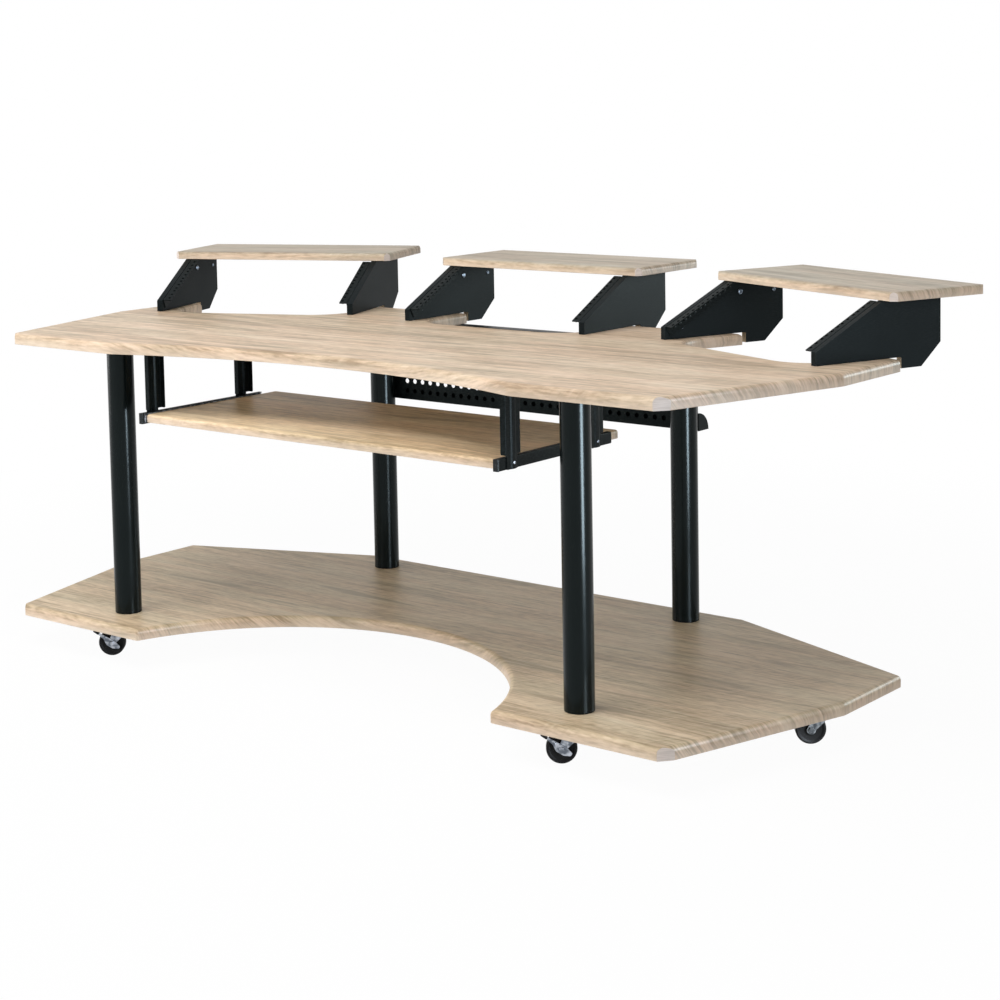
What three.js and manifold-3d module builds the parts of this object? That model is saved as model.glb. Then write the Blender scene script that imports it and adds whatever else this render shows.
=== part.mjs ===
// A studio desk on casters: a worktop with three equipment bays under raised shelves, a lower
// board, four round legs, a sliding keyboard tray and a perforated cable tray.
// Millimetres, +Z up, the user sits on the -Y side. The origin is on the floor, in the middle.
import * as THREE from 'three';
import { mergeVertices } from 'three/addons/utils/BufferGeometryUtils.js';
import Module from 'manifold-3d';

const wasm = await Module();
wasm.setup();

// Gaps and facets shared by all pieces
const seatGap = 0.3;
const runningGap = 0.8;
const cutOverrun = 2;
const weldDistance = 0.0001;
const arcStep = THREE.MathUtils.degToRad(22.5);
const wideArcSteps = 22;
const roundSides = 20;
const smallSides = 8;
const edgeSteps = 3;

// Board outline, shared by the worktop and the lower board
const boardDepth = 843;
const flareDepth = 431;
const flareRun = 141;
const tipClipRun = 22;
const tipClipRise = 26;
const rearStraightWidth = 1091;
const sideBayAngle = THREE.MathUtils.degToRad(21);
const edgeRadius = 10.5;
const cornerRadius = 5;

// Lower board
const lowerBoardThickness = 25;
const kneeRecessWidth = 1004;
const kneeRecessDepth = 378;
const kneeCornerRadius = 12;

// Worktop
const worktopThickness = 25;
const frontSweepWidth = 1118;
const frontSweepDepth = 97;
const sweepBlendRadius = 140;

// Equipment bays. The rails have EIA rack spacing and a row of three holes for each rack unit.
const rackHoleSpacing = 465.1;
const rackHoleInset = 14.45;
const railFlangeWidth = 21;
const tongueReveal = 14;
const biteDepth = 199;
const biteRadius = 95;
const sideTongueInner = 2;
const sideTongueOuter = 50;
const rackUnit = 44.45;
const rackUnits = 4;
const rackHoleShares = [1 / 7, 1 / 2, 6 / 7];
const rackHoleRadius = 3.4;
const rackHoleSides = 6;
const railSheet = 2;
const railLegWidth = 25;
const railEndTrim = 3;

// Bracket panels under the raised shelves
const panelThickness = 15;
const panelSeatLength = 196;
const panelNoseHeight = 27;
const panelTopSetback = 27;
const panelRearReach = 123;
const panelRearHeight = 92;
const hookGap = 20;
const hookLength = 52;
const hookDrop = 22.5;
const riserHeight = 116;

// Raised shelves
const shelfOverhang = 32;
const shelfDepth = 246;
const shelfThickness = 19;
const shelfEdgeRadius = 9;
const shelfCornerClip = 12;
const shelfLip = 1;

// Legs, each with a plate screwed up into the worktop
const legRadius = 30;
const legWall = 2;
const legLength = 606.1;
const legBore = 5;
const legEndPlate = 4;
const legPlateRadius = 48;
const legPlateThickness = 4;
const legFrontInset = 246;
const legRearInset = 102.5;
const legFrontSetback = 100.5;
const legRearMargin = 78;

// Keyboard tray
const trayLegMargin = 99;
const trayDepth = 403;
const trayThickness = 18;
const trayEdgeRadius = 6;
const traySetback = 43;
const trayDrop = 134;

// Tray slides: a bar on the tray's edge, in a middle channel, in a fixed outer channel
const slideLength = 370;
const slideHeight = 24;
const slideWidth = 12.7;
const slideLead = 11;
const slideLift = 0;
const slideSheet = 1.5;
const slideStagger = 2;

// Tray hangers
const hangerWidth = 47;
const hangerSheet = 1.5;
const hangerFlange = 13;
const hangerFlangeClearance = 4;
const hangerTabWidth = 36;
const hangerRidgeWidth = 9;
const hangerRidgeHeight = 2;
const frontHangerSetback = 54.5;
const rearHangerSetback = 326.5;

// Cable tray
const cableTrayOverhang = 17;
const cableTrayDrop = 193;
const cableTroughRadius = 40;
const cableSheet = 1.5;
const cableFlange = 34;
const cableLegClearance = 3;
const cableEndPlate = 2;
const cableHoleRadius = 6;
const cableHolePitch = 24.5;
const cableHoleMargin = 60;
const cableHoleRows = 2;
const cableHoleSides = 6;
const cableFirstRow = 21.5;
const cableHoodTurn = THREE.MathUtils.degToRad(72);
const cableHoodSteps = 6;

// Casters
const wheelRadius = 30;
const wheelWidth = 22;
const wheelCrown = 2.5;
const wheelHubRadius = 11;
const wheelDish = 2;
const axleRadius = 4;
const wheelHeadroom = 1.8;
const wheelSideGap = 1.2;
const forkSheet = 2.5;
const forkCrownThickness = 2.5;
const forkCrownRadius = 21;
const forkEyeRadius = 9;
const raceRadius = 18;
const raceHeight = 2.6;
const plateSide = 60;
const plateThickness = 2.5;
const kingpinRadius = 4;
const kingpinHeadRadius = 6;
const kingpinHeadHeight = 1.5;
const casterTrail = 20;
const casterRestTurn = THREE.MathUtils.degToRad(38);
const casterLegOffset = 25;
const sideCasterInset = 64;
const sideCasterOffset = 18;

// Brake pedals on the front casters
const pedalSheet = 2;
const pedalEyeRadius = 8;
const pedalArmHeight = 9;
const pedalReach = 35;
const pedalPadLength = 15;
const pedalPadThickness = 6;
const pedalRestTilt = THREE.MathUtils.degToRad(30);

// Widths of the boards, worked out from the bays along their rear edges, and what hangs on them
const bayClearWidth = rackHoleSpacing + 2 * rackHoleInset;
const biteWidth = bayClearWidth - 2 * tongueReveal;
const rearCornerX = rearStraightWidth / 2;
const sideEdgeLength = sideTongueInner + biteWidth + sideTongueOuter;
const boardHalf = rearCornerX + sideEdgeLength * Math.cos(sideBayAngle);
const frontEdgeHalf = boardHalf - flareRun;
const legFrontX = frontEdgeHalf - legFrontInset;
const legRearX = rearCornerX - legRearInset;
const legRearSetback = boardDepth - legRearMargin;
const trayHalf = legFrontX - legPlateRadius - trayLegMargin;
const cableTrayHalf = legRearX + cableTrayOverhang;

// Levels, worked out from the floor up
const casterHeight = 2 * wheelRadius + wheelHeadroom + forkCrownThickness + seatGap + raceHeight
  + plateThickness + seatGap;
const lowerBoardTop = casterHeight + lowerBoardThickness;
const legFoot = lowerBoardTop + seatGap;
const legTop = legFoot + legLength;
const worktopBottom = legTop + seatGap + legPlateThickness + seatGap;
const worktopTop = worktopBottom + worktopThickness;
const trayTop = worktopBottom - trayDrop;
const trayBottom = trayTop - trayThickness;
const slideMiddle = trayTop - trayThickness / 2 + slideLift;

// Finishes
const oakLaminate = { color: 0xcdb99c, roughness: 0.55, metalness: 0 };
const blackPanel = { color: 0x1c2021, roughness: 0.6, metalness: 0 };
const blackSteel = { color: 0x14171a, roughness: 0.35, metalness: 0.4 };
const zincSteel = { color: 0xb4b8bc, roughness: 0.35, metalness: 0.9 };
const blackRubber = { color: 0x161718, roughness: 0.7, metalness: 0 };

// Closed geometry with merged corners and its faces pointing out
function solid(geometry) {
  const bare = geometry.clone();
  bare.deleteAttribute('normal');
  bare.deleteAttribute('uv');
  const merged = mergeVertices(bare, weldDistance);
  const places = merged.attributes.position;
  const index = Array.from(merged.index.array);
  const corner = (i) => new THREE.Vector3().fromBufferAttribute(places, index[i]);
  const kept = [];
  let volume = 0;
  for (let i = 0; i < index.length; i += 3) {
    const [a, b, c] = [index[i], index[i + 1], index[i + 2]];
    if (a === b || b === c || c === a) continue;
    kept.push(a, b, c);
    volume += corner(i).dot(corner(i + 1).cross(corner(i + 2)));
  }
  if (volume < 0) kept.reverse();
  merged.setIndex(kept);
  merged.computeVertexNormals();
  return merged;
}

function toManifold(geometry) {
  const closed = solid(geometry);
  return new wasm.Manifold(new wasm.Mesh({
    numProp: 3,
    vertProperties: new Float32Array(closed.attributes.position.array),
    triVerts: new Uint32Array(closed.index.array),
  }));
}

function fromManifold(body) {
  const mesh = body.getMesh();
  const geometry = new THREE.BufferGeometry();
  geometry.setAttribute('position', new THREE.BufferAttribute(mesh.vertProperties, mesh.numProp));
  geometry.setIndex(new THREE.BufferAttribute(mesh.triVerts, 1));
  geometry.computeVertexNormals();
  return geometry;
}

// The first geometry with others joined to it and then more cut away
function carved(base, joins, cuts) {
  let body = toManifold(base);
  for (const join of joins) body = body.add(toManifold(join));
  for (const cut of cuts) body = body.subtract(toManifold(cut));
  return fromManifold(body);
}

// A flat outline pushed along one axis, from one place to another. The outline is in the two
// other axes, in X, Y, Z order.
function prism(outline, axis, from, to) {
  const shape = new THREE.Shape(outline.map(([a, b]) => new THREE.Vector2(a, b)));
  const geometry = new THREE.ExtrudeGeometry(shape, { depth: to - from, bevelEnabled: false });
  geometry.translate(0, 0, from);
  const [x, y, z] = [new THREE.Vector3(1, 0, 0), new THREE.Vector3(0, 1, 0), new THREE.Vector3(0, 0, 1)];
  const bases = { x: [y, z, x], y: [x, z, y], z: [x, y, z] };
  geometry.applyMatrix4(new THREE.Matrix4().makeBasis(...bases[axis]));
  return solid(geometry);
}

function box(low, high) {
  const corners = [[low[0], low[1]], [high[0], low[1]], [high[0], high[1]], [low[0], high[1]]];
  return prism(corners, 'z', low[2], high[2]);
}

// A profile of radius and height pairs turned about Z, X or Y
function turned(profile, axis, sides) {
  const points = profile.map(([r, h]) => new THREE.Vector2(r, h));
  const geometry = new THREE.LatheGeometry(points, sides);
  if (axis === 'z') geometry.rotateX(Math.PI / 2);
  if (axis === 'x') geometry.rotateZ(-Math.PI / 2);
  return solid(geometry);
}

function rod(radius, axis, from, to, sides = roundSides) {
  return turned([[0, from], [radius, from], [radius, to], [0, to]], axis, sides);
}

// A bent sheet: a path of folds, thickened to its left
function sheetOutline(path, thickness) {
  const normals = path.slice(1).map(([x, y], i) => {
    const [dx, dy] = [x - path[i][0], y - path[i][1]];
    const length = Math.hypot(dx, dy);
    return [-dy / length, dx / length];
  });
  const inner = path.map(([x, y], i) => {
    const before = normals[Math.max(i - 1, 0)];
    const after = normals[Math.min(i, normals.length - 1)];
    const scale = thickness / (1 + before[0] * after[0] + before[1] * after[1]);
    return [x + (before[0] + after[0]) * scale, y + (before[1] + after[1]) * scale];
  });
  return [...path, ...inner.reverse()];
}

// A closed outline with its corners rounded. Each corner is [x, y, radius].
function rounded(corners) {
  const points = [];
  const maxTangentShare = 0.48;
  corners.forEach(([x, y, radius = 0], i) => {
    const here = new THREE.Vector2(x, y);
    const [px, py] = corners.at(i - 1);
    const [nx, ny] = corners[(i + 1) % corners.length];
    const back = new THREE.Vector2(px, py).sub(here);
    const ahead = new THREE.Vector2(nx, ny).sub(here);
    const reach = maxTangentShare * Math.min(back.length(), ahead.length());
    back.normalize();
    ahead.normalize();
    const halfAngle = Math.acos(THREE.MathUtils.clamp(back.dot(ahead), -1, 1)) / 2;
    const tangent = Math.min(radius / Math.tan(halfAngle), reach);
    if (tangent <= 0) {
      points.push([x, y]);
      return;
    }
    const used = tangent * Math.tan(halfAngle);
    const centre = back.clone().add(ahead).normalize().multiplyScalar(used / Math.sin(halfAngle)).add(here);
    const start = back.multiplyScalar(tangent).add(here).sub(centre);
    const turn = Math.PI - 2 * halfAngle;
    const side = Math.sign(start.cross(ahead.clone().multiplyScalar(tangent).add(here).sub(centre)));
    const steps = Math.max(1, Math.ceil(turn / arcStep));
    for (let s = 0; s <= steps; s += 1) {
      const angle = side * turn * s / steps;
      const spoke = start.clone().rotateAround(new THREE.Vector2(), angle).add(centre);
      points.push([spoke.x, spoke.y]);
    }
  });
  return points;
}

// Points of an arc that runs from the front edge into a board and back
function frontArc(width, depth, endRadius) {
  const half = width / 2;
  const radius = (half * half + depth * depth) / (2 * depth);
  const sweep = Math.asin(half / radius);
  const points = [];
  for (let i = 0; i <= wideArcSteps; i += 1) {
    const angle = sweep * (2 * i / wideArcSteps - 1);
    const onEdge = i === 0 || i === wideArcSteps;
    const y = onEdge ? 0 : depth - radius * (1 - Math.cos(angle));
    points.push([radius * Math.sin(angle), y, onEdge ? endRadius : 0]);
  }
  return points;
}

// An outline moved inwards. An edge too short for the move is dropped, and its corners meet.
function insetOutline(outline, inset) {
  const edges = outline.map(([x, y], i) => {
    const [nx, ny] = outline[(i + 1) % outline.length];
    const along = new THREE.Vector2(nx - x, ny - y).normalize();
    const start = new THREE.Vector2(x - along.y * inset, y + along.x * inset);
    return { along, start };
  });
  const meeting = (before, after) => {
    const apart = after.start.clone().sub(before.start);
    const share = apart.cross(after.along) / before.along.cross(after.along);
    const point = before.start.clone().addScaledVector(before.along, share);
    return Number.isFinite(point.x) ? point : after.start;
  };
  const live = edges.map((edge, i) => i);
  for (;;) {
    const corners = live.map((i, k) => meeting(edges[live.at(k - 1)], edges[i]));
    const lengths = live.map((i, k) => {
      const next = corners[(k + 1) % corners.length];
      return next.clone().sub(corners[k]).dot(edges[i].along);
    });
    const shortest = lengths.indexOf(Math.min(...lengths));
    if (lengths[shortest] > 0) {
      return outline.map((point, i) => {
        const next = live.findIndex((edge) => edge >= i);
        const { x, y } = corners[Math.max(next, 0)];
        return [x, y];
      });
    }
    live.splice(shortest, 1);
  }
}

// A board with a square lower edge and a rounded upper edge. The outline runs anticlockwise.
function board(outline, thickness, radius) {
  const rings = [{ inset: 0, level: 0 }];
  for (let s = 0; s <= edgeSteps; s += 1) {
    const angle = Math.PI / 2 * s / edgeSteps;
    const level = thickness - radius * (1 - Math.sin(angle));
    rings.push({ inset: radius * (1 - Math.cos(angle)), level });
  }
  const count = outline.length;
  const places = [];
  const index = [];
  const loops = rings.map(({ inset, level }) => {
    const loop = insetOutline(outline, inset);
    loop.forEach(([x, y]) => places.push(x, y, level));
    return loop;
  });
  for (let r = 0; r + 1 < rings.length; r += 1) {
    for (let i = 0; i < count; i += 1) {
      const [a, b] = [r * count + i, r * count + (i + 1) % count];
      index.push(a, b, b + count, a, b + count, a + count);
    }
  }
  const cap = (loop, first, flip) => {
    const apart = (i) => Math.hypot(loop[i][0] - loop.at(i - 1)[0], loop[i][1] - loop.at(i - 1)[1]);
    const kept = loop.map((point, i) => i).filter((i) => apart(i) > weldDistance);
    const contour = kept.map((i) => new THREE.Vector2(...loop[i]));
    for (const [a, b, c] of THREE.ShapeUtils.triangulateShape(contour, [])) {
      index.push(first + kept[a], first + kept[flip ? c : b], first + kept[flip ? b : c]);
    }
  };
  cap(loops[0], 0, true);
  cap(loops.at(-1), (rings.length - 1) * count, false);
  const geometry = new THREE.BufferGeometry();
  geometry.setAttribute('position', new THREE.Float32BufferAttribute(places, 3));
  geometry.setIndex(index);
  return solid(geometry);
}

// A cutter that clips a board's corner flat, from one place to the next along its outline
function cornerClip([x0, y0], [x1, y1], thickness) {
  const [dx, dy] = [x1 - x0, y1 - y0];
  return prism([
    [x0 - dx, y0 - dy], [x0 - dx + dy, y0 - dy - dx], [x1 + dx + dy, y1 + dy - dx], [x1 + dx, y1 + dy],
  ], 'z', -cutOverrun, thickness + cutOverrun);
}

// Where each equipment bay meets the rear edge of the worktop, and how far it is turned
const bays = ['left', 'centre', 'right'].map((name, i) => {
  const side = i - 1;
  const along = Math.abs(side) * (sideTongueInner + biteWidth / 2);
  return {
    name,
    turn: -side * sideBayAngle,
    x: side * (rearCornerX + along * Math.cos(sideBayAngle)),
    y: boardDepth - along * Math.sin(sideBayAngle),
  };
});

function inBay(bay, x, y, radius) {
  const [c, s] = [Math.cos(bay.turn), Math.sin(bay.turn)];
  return [bay.x + x * c - y * s, bay.y + x * s + y * c, radius];
}

// The outline of both boards, with its tips still sharp. The bites are the cut-outs behind the
// worktop, one for each bay.
function boardOutline(recess, withBites) {
  const clipEnd = frontEdgeHalf + tipClipRun;
  const tip = clipEnd - tipClipRise * (boardHalf - clipEnd) / (flareDepth - tipClipRise);
  const sideRear = boardDepth - sideEdgeLength * Math.sin(sideBayAngle);
  const biteHalf = biteWidth / 2;
  const bite = (bay) => (withBites ? [
    inBay(bay, biteHalf, 0, cornerRadius),
    inBay(bay, biteHalf, -biteDepth, biteRadius),
    inBay(bay, -biteHalf, -biteDepth, biteRadius),
    inBay(bay, -biteHalf, 0, cornerRadius),
  ] : []);
  return rounded([
    [-tip, 0],
    ...recess,
    [tip, 0],
    [boardHalf, flareDepth, cornerRadius],
    [boardHalf, sideRear, cornerRadius],
    ...bite(bays[2]),
    [rearCornerX, boardDepth],
    ...bite(bays[1]),
    [-rearCornerX, boardDepth],
    ...bite(bays[0]),
    [-boardHalf, sideRear, cornerRadius],
    [-boardHalf, flareDepth, cornerRadius],
  ]);
}

const legPlaces = [
  { name: 'front_left', x: -legFrontX, y: legFrontSetback },
  { name: 'front_right', x: legFrontX, y: legFrontSetback },
  { name: 'rear_left', x: -legRearX, y: legRearSetback },
  { name: 'rear_right', x: legRearX, y: legRearSetback },
];

const desk = new THREE.Group();

function place(parent, name, geometry, finish, position = [0, 0, 0]) {
  const mesh = new THREE.Mesh(geometry, new THREE.MeshStandardMaterial(finish));
  mesh.name = name;
  mesh.position.set(...position);
  parent.add(mesh);
  return mesh;
}

function addBoards() {
  const [inner, outer] = [frontEdgeHalf, frontEdgeHalf + tipClipRun];
  const tipClips = (thickness) => [
    cornerClip([inner, 0], [outer, tipClipRise], thickness),
    cornerClip([-outer, tipClipRise], [-inner, 0], thickness),
  ];
  const recess = frontArc(kneeRecessWidth, kneeRecessDepth, kneeCornerRadius);
  const lower = board(boardOutline(recess, false), lowerBoardThickness, edgeRadius);
  place(desk, 'lower_board', carved(lower, [], tipClips(lowerBoardThickness)), oakLaminate,
    [0, 0, casterHeight]);
  const sweep = frontArc(frontSweepWidth, frontSweepDepth, sweepBlendRadius);
  const worktop = board(boardOutline(sweep, true), worktopThickness, edgeRadius);
  place(desk, 'worktop', carved(worktop, [], tipClips(worktopThickness)), oakLaminate,
    [0, 0, worktopBottom]);
}

// Steel tube legs with a pierced plate in each end. A wider plate joins each to the worktop.
function addLegs() {
  const inner = legRadius - legWall;
  const tube = turned([
    [legBore, 0], [legRadius, 0], [legRadius, legLength], [legBore, legLength],
    [legBore, legLength - legEndPlate], [inner, legLength - legEndPlate],
    [inner, legEndPlate], [legBore, legEndPlate], [legBore, 0],
  ], 'z', roundSides);
  const plate = rod(legPlateRadius, 'z', 0, legPlateThickness);
  for (const { name, x, y } of legPlaces) {
    place(desk, `leg_${name}`, tube, blackSteel, [x, y, legFoot]);
    place(desk, `leg_plate_${name}`, plate, blackSteel, [x, y, legTop + seatGap]);
  }
}

// A bay's bracket panels stand on the worktop's tongues and hook down behind their ends. The
// angle rails lie along the slanted front edges and carry the rack holes.
const slantRun = panelSeatLength - panelTopSetback;
const slantRise = riserHeight - seatGap - panelNoseHeight;
const slantAngle = Math.atan2(slantRise, slantRun);
const slantLength = Math.hypot(slantRise, slantRun);

function panelOutline() {
  const top = riserHeight - seatGap;
  return [
    [-panelSeatLength, seatGap], [hookGap, seatGap], [hookGap, -hookDrop],
    [hookGap + hookLength, -hookDrop], [panelRearReach, top - panelRearHeight],
    [panelRearReach, top], [-panelTopSetback, top], [-panelSeatLength, panelNoseHeight],
  ];
}

function rackRail(side) {
  const legFace = bayClearWidth / 2 - seatGap;
  const firstUnit = (slantLength - rackUnit * rackUnits) / 2;
  const section = sheetOutline([
    [side * (bayClearWidth / 2 - railFlangeWidth), 0], [side * legFace, 0], [side * legFace, -railLegWidth],
  ], -side * railSheet);
  const bar = prism(section, 'y', railEndTrim, slantLength - railEndTrim);
  const holes = [];
  for (let unit = 0; unit < rackUnits; unit += 1) {
    for (const share of rackHoleShares) {
      const hole = rod(rackHoleRadius, 'z', -railSheet - cutOverrun, cutOverrun, rackHoleSides);
      holes.push(hole.translate(side * rackHoleSpacing / 2, firstUnit + rackUnit * (unit + share), 0));
    }
  }
  return carved(bar, [], holes);
}

function addBays() {
  const panel = prism(panelOutline(), 'x', 0, panelThickness);
  const shelfHalf = bayClearWidth / 2 + panelThickness + shelfOverhang;
  const shelfFront = -panelTopSetback - shelfLip;
  const shelfRear = shelfFront + shelfDepth;
  const corners = [
    [-shelfHalf, shelfFront], [shelfHalf, shelfFront], [shelfHalf, shelfRear], [-shelfHalf, shelfRear],
  ];
  const clips = corners.map(([x, y], i) => {
    const [px, py] = corners.at(i - 1);
    const [nx, ny] = corners[(i + 1) % corners.length];
    const before = [x + shelfCornerClip * Math.sign(px - x), y + shelfCornerClip * Math.sign(py - y)];
    const after = [x + shelfCornerClip * Math.sign(nx - x), y + shelfCornerClip * Math.sign(ny - y)];
    return cornerClip(before, after, shelfThickness);
  });
  const shelf = carved(board(corners, shelfThickness, shelfEdgeRadius), [], clips);
  for (const bay of bays) {
    const frame = new THREE.Group();
    frame.position.set(bay.x, bay.y, worktopTop);
    frame.rotation.z = bay.turn;
    desk.add(frame);
    place(frame, `riser_shelf_${bay.name}`, shelf, oakLaminate, [0, 0, riserHeight]);
    for (const [hand, side] of [['left', -1], ['right', 1]]) {
      const panelX = side > 0 ? bayClearWidth / 2 : -bayClearWidth / 2 - panelThickness;
      place(frame, `bracket_${bay.name}_${hand}`, panel, blackPanel, [panelX, 0, 0]);
      const rail = place(frame, `rack_rail_${bay.name}_${hand}`, rackRail(side), blackSteel,
        [0, -panelSeatLength, panelNoseHeight]);
      rail.rotation.x = slantAngle;
    }
  }
}

// Each slide holds its three members one inside the other, working in from the hanger
const slideFront = traySetback - slideLead;
const barFace = trayHalf + seatGap;
const outerBack = barFace + slideWidth;
const memberStep = slideSheet + runningGap;
const middleBack = outerBack - memberStep;
const barBack = middleBack - memberStep;

function channel(side, back, lips, height) {
  const half = height / 2;
  return sheetOutline([
    [side * lips, half], [side * back, half], [side * back, -half], [side * lips, -half],
  ], -side * slideSheet);
}

function addTray() {
  const tray = board(rounded([
    [-trayHalf, 0, cornerRadius], [trayHalf, 0, cornerRadius],
    [trayHalf, trayDepth, cornerRadius], [-trayHalf, trayDepth, cornerRadius],
  ]), trayThickness, trayEdgeRadius);
  place(desk, 'keyboard_tray', tray, oakLaminate, [0, traySetback, trayBottom]);
  const barHalf = slideHeight / 2 - 2 * memberStep;
  const shortLength = slideLength - slideStagger;
  for (const [hand, side] of [['left', -1], ['right', 1]]) {
    const bar = box([Math.min(side * barFace, side * barBack), 0, -barHalf],
      [Math.max(side * barFace, side * barBack), shortLength, barHalf]);
    const middle = channel(side, middleBack, barFace + memberStep, slideHeight - 2 * memberStep);
    const outer = channel(side, outerBack, barFace + slideSheet, slideHeight);
    const shortPlace = [0, slideFront + slideStagger, slideMiddle];
    place(desk, `slide_inner_${hand}`, bar, zincSteel, shortPlace);
    place(desk, `slide_middle_${hand}`, prism(middle, 'y', 0, shortLength), zincSteel, shortPlace);
    place(desk, `slide_outer_${hand}`, prism(outer, 'y', 0, slideLength), blackSteel,
      [0, slideFront, slideMiddle]);
  }
}

// A hanger is a folded channel with a pressed ridge, a tab under the worktop and a foot that
// reaches down the outside of the outer slide
const hangerBack = outerBack + seatGap + hangerSheet;

function hanger(side) {
  const top = worktopBottom - seatGap;
  const flangeFoot = slideMiddle + slideHeight / 2 + hangerFlangeClearance;
  const foot = slideMiddle - slideHeight / 2;
  const lip = hangerBack - hangerFlange;
  const middle = hangerWidth / 2;
  const crest = hangerBack + hangerRidgeHeight;
  const ridge = [
    [hangerBack, middle - hangerRidgeWidth], [crest, middle - hangerRidgeWidth / 2],
    [crest, middle + hangerRidgeWidth / 2], [hangerBack, middle + hangerRidgeWidth],
  ];
  const web = [[hangerBack, 0], ...ridge, [hangerBack, hangerWidth]];
  const folded = [[lip, 0], ...web, [lip, hangerWidth]];
  const sided = (path) => sheetOutline(path.map(([x, y]) => [side * x, y]), side * hangerSheet);
  const body = prism(sided(folded), 'z', flangeFoot, top);
  const shank = prism(sided(web), 'z', foot, flangeFoot + hangerSheet);
  const tabEnds = [side * (hangerBack - hangerTabWidth), side * (hangerBack - hangerSheet / 2)];
  const tab = box([Math.min(...tabEnds), 0, top - hangerSheet], [Math.max(...tabEnds), hangerWidth, top]);
  return carved(body, [shank, tab], []);
}

function addHangers() {
  for (const [hand, side] of [['left', -1], ['right', 1]]) {
    place(desk, `hanger_front_${hand}`, hanger(side), blackSteel, [0, frontHangerSetback, 0]);
    place(desk, `hanger_rear_${hand}`, hanger(side), blackSteel, [0, rearHangerSetback, 0]);
  }
}

// The cable tray is one folded sheet behind the rear legs: a flange under the worktop, notched
// for the leg plates, a perforated front, a floor and a hood that curves forward over the trough
function addCableTray() {
  const front = legRearSetback + legRadius + cableLegClearance;
  const top = worktopBottom - seatGap;
  const floor = worktopBottom - cableTrayDrop;
  const hood = [];
  for (let s = 0; s <= cableHoodSteps; s += 1) {
    const angle = cableHoodTurn * s / cableHoodSteps;
    hood.push([front + cableTroughRadius * Math.cos(angle), floor + cableTroughRadius * Math.sin(angle)]);
  }
  const path = [[front + cableFlange, top], [front, top], [front, floor], ...hood];
  const section = sheetOutline(path, cableSheet);
  const halfSheet = cableTrayHalf - cableEndPlate - seatGap;
  const sheet = prism(section, 'x', -halfSheet, halfSheet);
  const steps = Math.floor(2 * (cableTrayHalf - cableHoleMargin) / cableHolePitch);
  const holes = [];
  for (let row = 0; row < cableHoleRows; row += 1) {
    for (let i = 0; i <= steps; i += 1) {
      const hole = rod(cableHoleRadius, 'y', -cutOverrun, cableSheet + cutOverrun, cableHoleSides);
      const x = (i - steps / 2) * cableHolePitch;
      holes.push(hole.translate(x, front, floor + cableFirstRow + row * cableHolePitch));
    }
  }
  const notches = legPlaces.map(({ x, y }) => {
    const notch = rod(legPlateRadius + runningGap, 'z', legTop, worktopBottom);
    return notch.translate(x, y, 0);
  });
  place(desk, 'cable_tray', carved(sheet, [], [...holes, ...notches]), blackSteel);
  const quarter = [[front, floor]];
  for (let s = 0; s <= cableHoodSteps; s += 1) {
    const angle = Math.PI / 2 * s / cableHoodSteps;
    quarter.push([front + cableTroughRadius * Math.cos(angle), floor + cableTroughRadius * Math.sin(angle)]);
  }
  const end = prism(quarter, 'x', 0, cableEndPlate);
  place(desk, 'cable_tray_end_left', end, blackSteel, [-cableTrayHalf, 0, 0]);
  place(desk, 'cable_tray_end_right', end, blackSteel, [cableTrayHalf - cableEndPlate, 0, 0]);
}

// Swivel casters. Local X runs from the swivel towards the wheel, local Y along the axle.
const plateTop = casterHeight - seatGap;
const raceFoot = plateTop - plateThickness - raceHeight;
const crownTop = raceFoot - seatGap;
const crownFoot = crownTop - forkCrownThickness;
const cheekFace = wheelWidth / 2 + wheelSideGap;
const axleEnd = cheekFace + forkSheet + seatGap + pedalSheet + seatGap;

function casterPlate() {
  const half = plateSide / 2;
  const headTop = crownFoot - seatGap;
  const plate = box([-half, -half, plateTop - plateThickness], [half, half, plateTop]);
  const race = rod(raceRadius, 'z', raceFoot, plateTop - plateThickness + seatGap);
  const pin = turned([
    [0, headTop - kingpinHeadHeight], [kingpinHeadRadius, headTop - kingpinHeadHeight],
    [kingpinHeadRadius, headTop], [kingpinRadius, headTop], [kingpinRadius, raceFoot + seatGap],
    [0, raceFoot + seatGap],
  ], 'z', smallSides);
  return carved(plate, [race, pin], []);
}

function casterFork() {
  const crown = rod(forkCrownRadius, 'z', crownFoot, crownTop);
  const boreRadius = kingpinRadius + runningGap;
  const bore = rod(boreRadius, 'z', crownFoot - cutOverrun, crownTop + cutOverrun, smallSides);
  const outer = cheekFace + forkSheet;
  const eye = [];
  for (let s = 0; s <= smallSides; s += 1) {
    const angle = -Math.PI * s / smallSides;
    eye.push([casterTrail + forkEyeRadius * Math.cos(angle), wheelRadius + forkEyeRadius * Math.sin(angle)]);
  }
  const reach = Math.sqrt(Math.max(forkCrownRadius ** 2 - outer ** 2, kingpinHeadRadius ** 2));
  const cheek = [[-reach, crownTop], [reach, crownTop], ...eye];
  const cheeks = [prism(cheek, 'y', cheekFace, outer), prism(cheek, 'y', -outer, -cheekFace)];
  const bridge = box([-reach, -outer, crownFoot], [reach, outer, crownTop]);
  const axle = rod(axleRadius, 'y', -axleEnd, axleEnd, smallSides).translate(casterTrail, 0, wheelRadius);
  return carved(crown, [bridge, ...cheeks, axle], [bore]);
}

function casterWheel() {
  const half = wheelWidth / 2;
  const bore = axleRadius + seatGap;
  const rim = wheelRadius - wheelCrown;
  const lip = rim - wheelCrown;
  return turned([
    [bore, -half], [wheelHubRadius, -half], [wheelHubRadius, wheelDish - half], [lip, wheelDish - half],
    [rim, -half], [wheelRadius, wheelCrown - half], [wheelRadius, half - wheelCrown], [rim, half],
    [lip, half - wheelDish], [wheelHubRadius, half - wheelDish], [wheelHubRadius, half], [bore, half],
    [bore, -half],
  ], 'y', roundSides);
}

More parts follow.
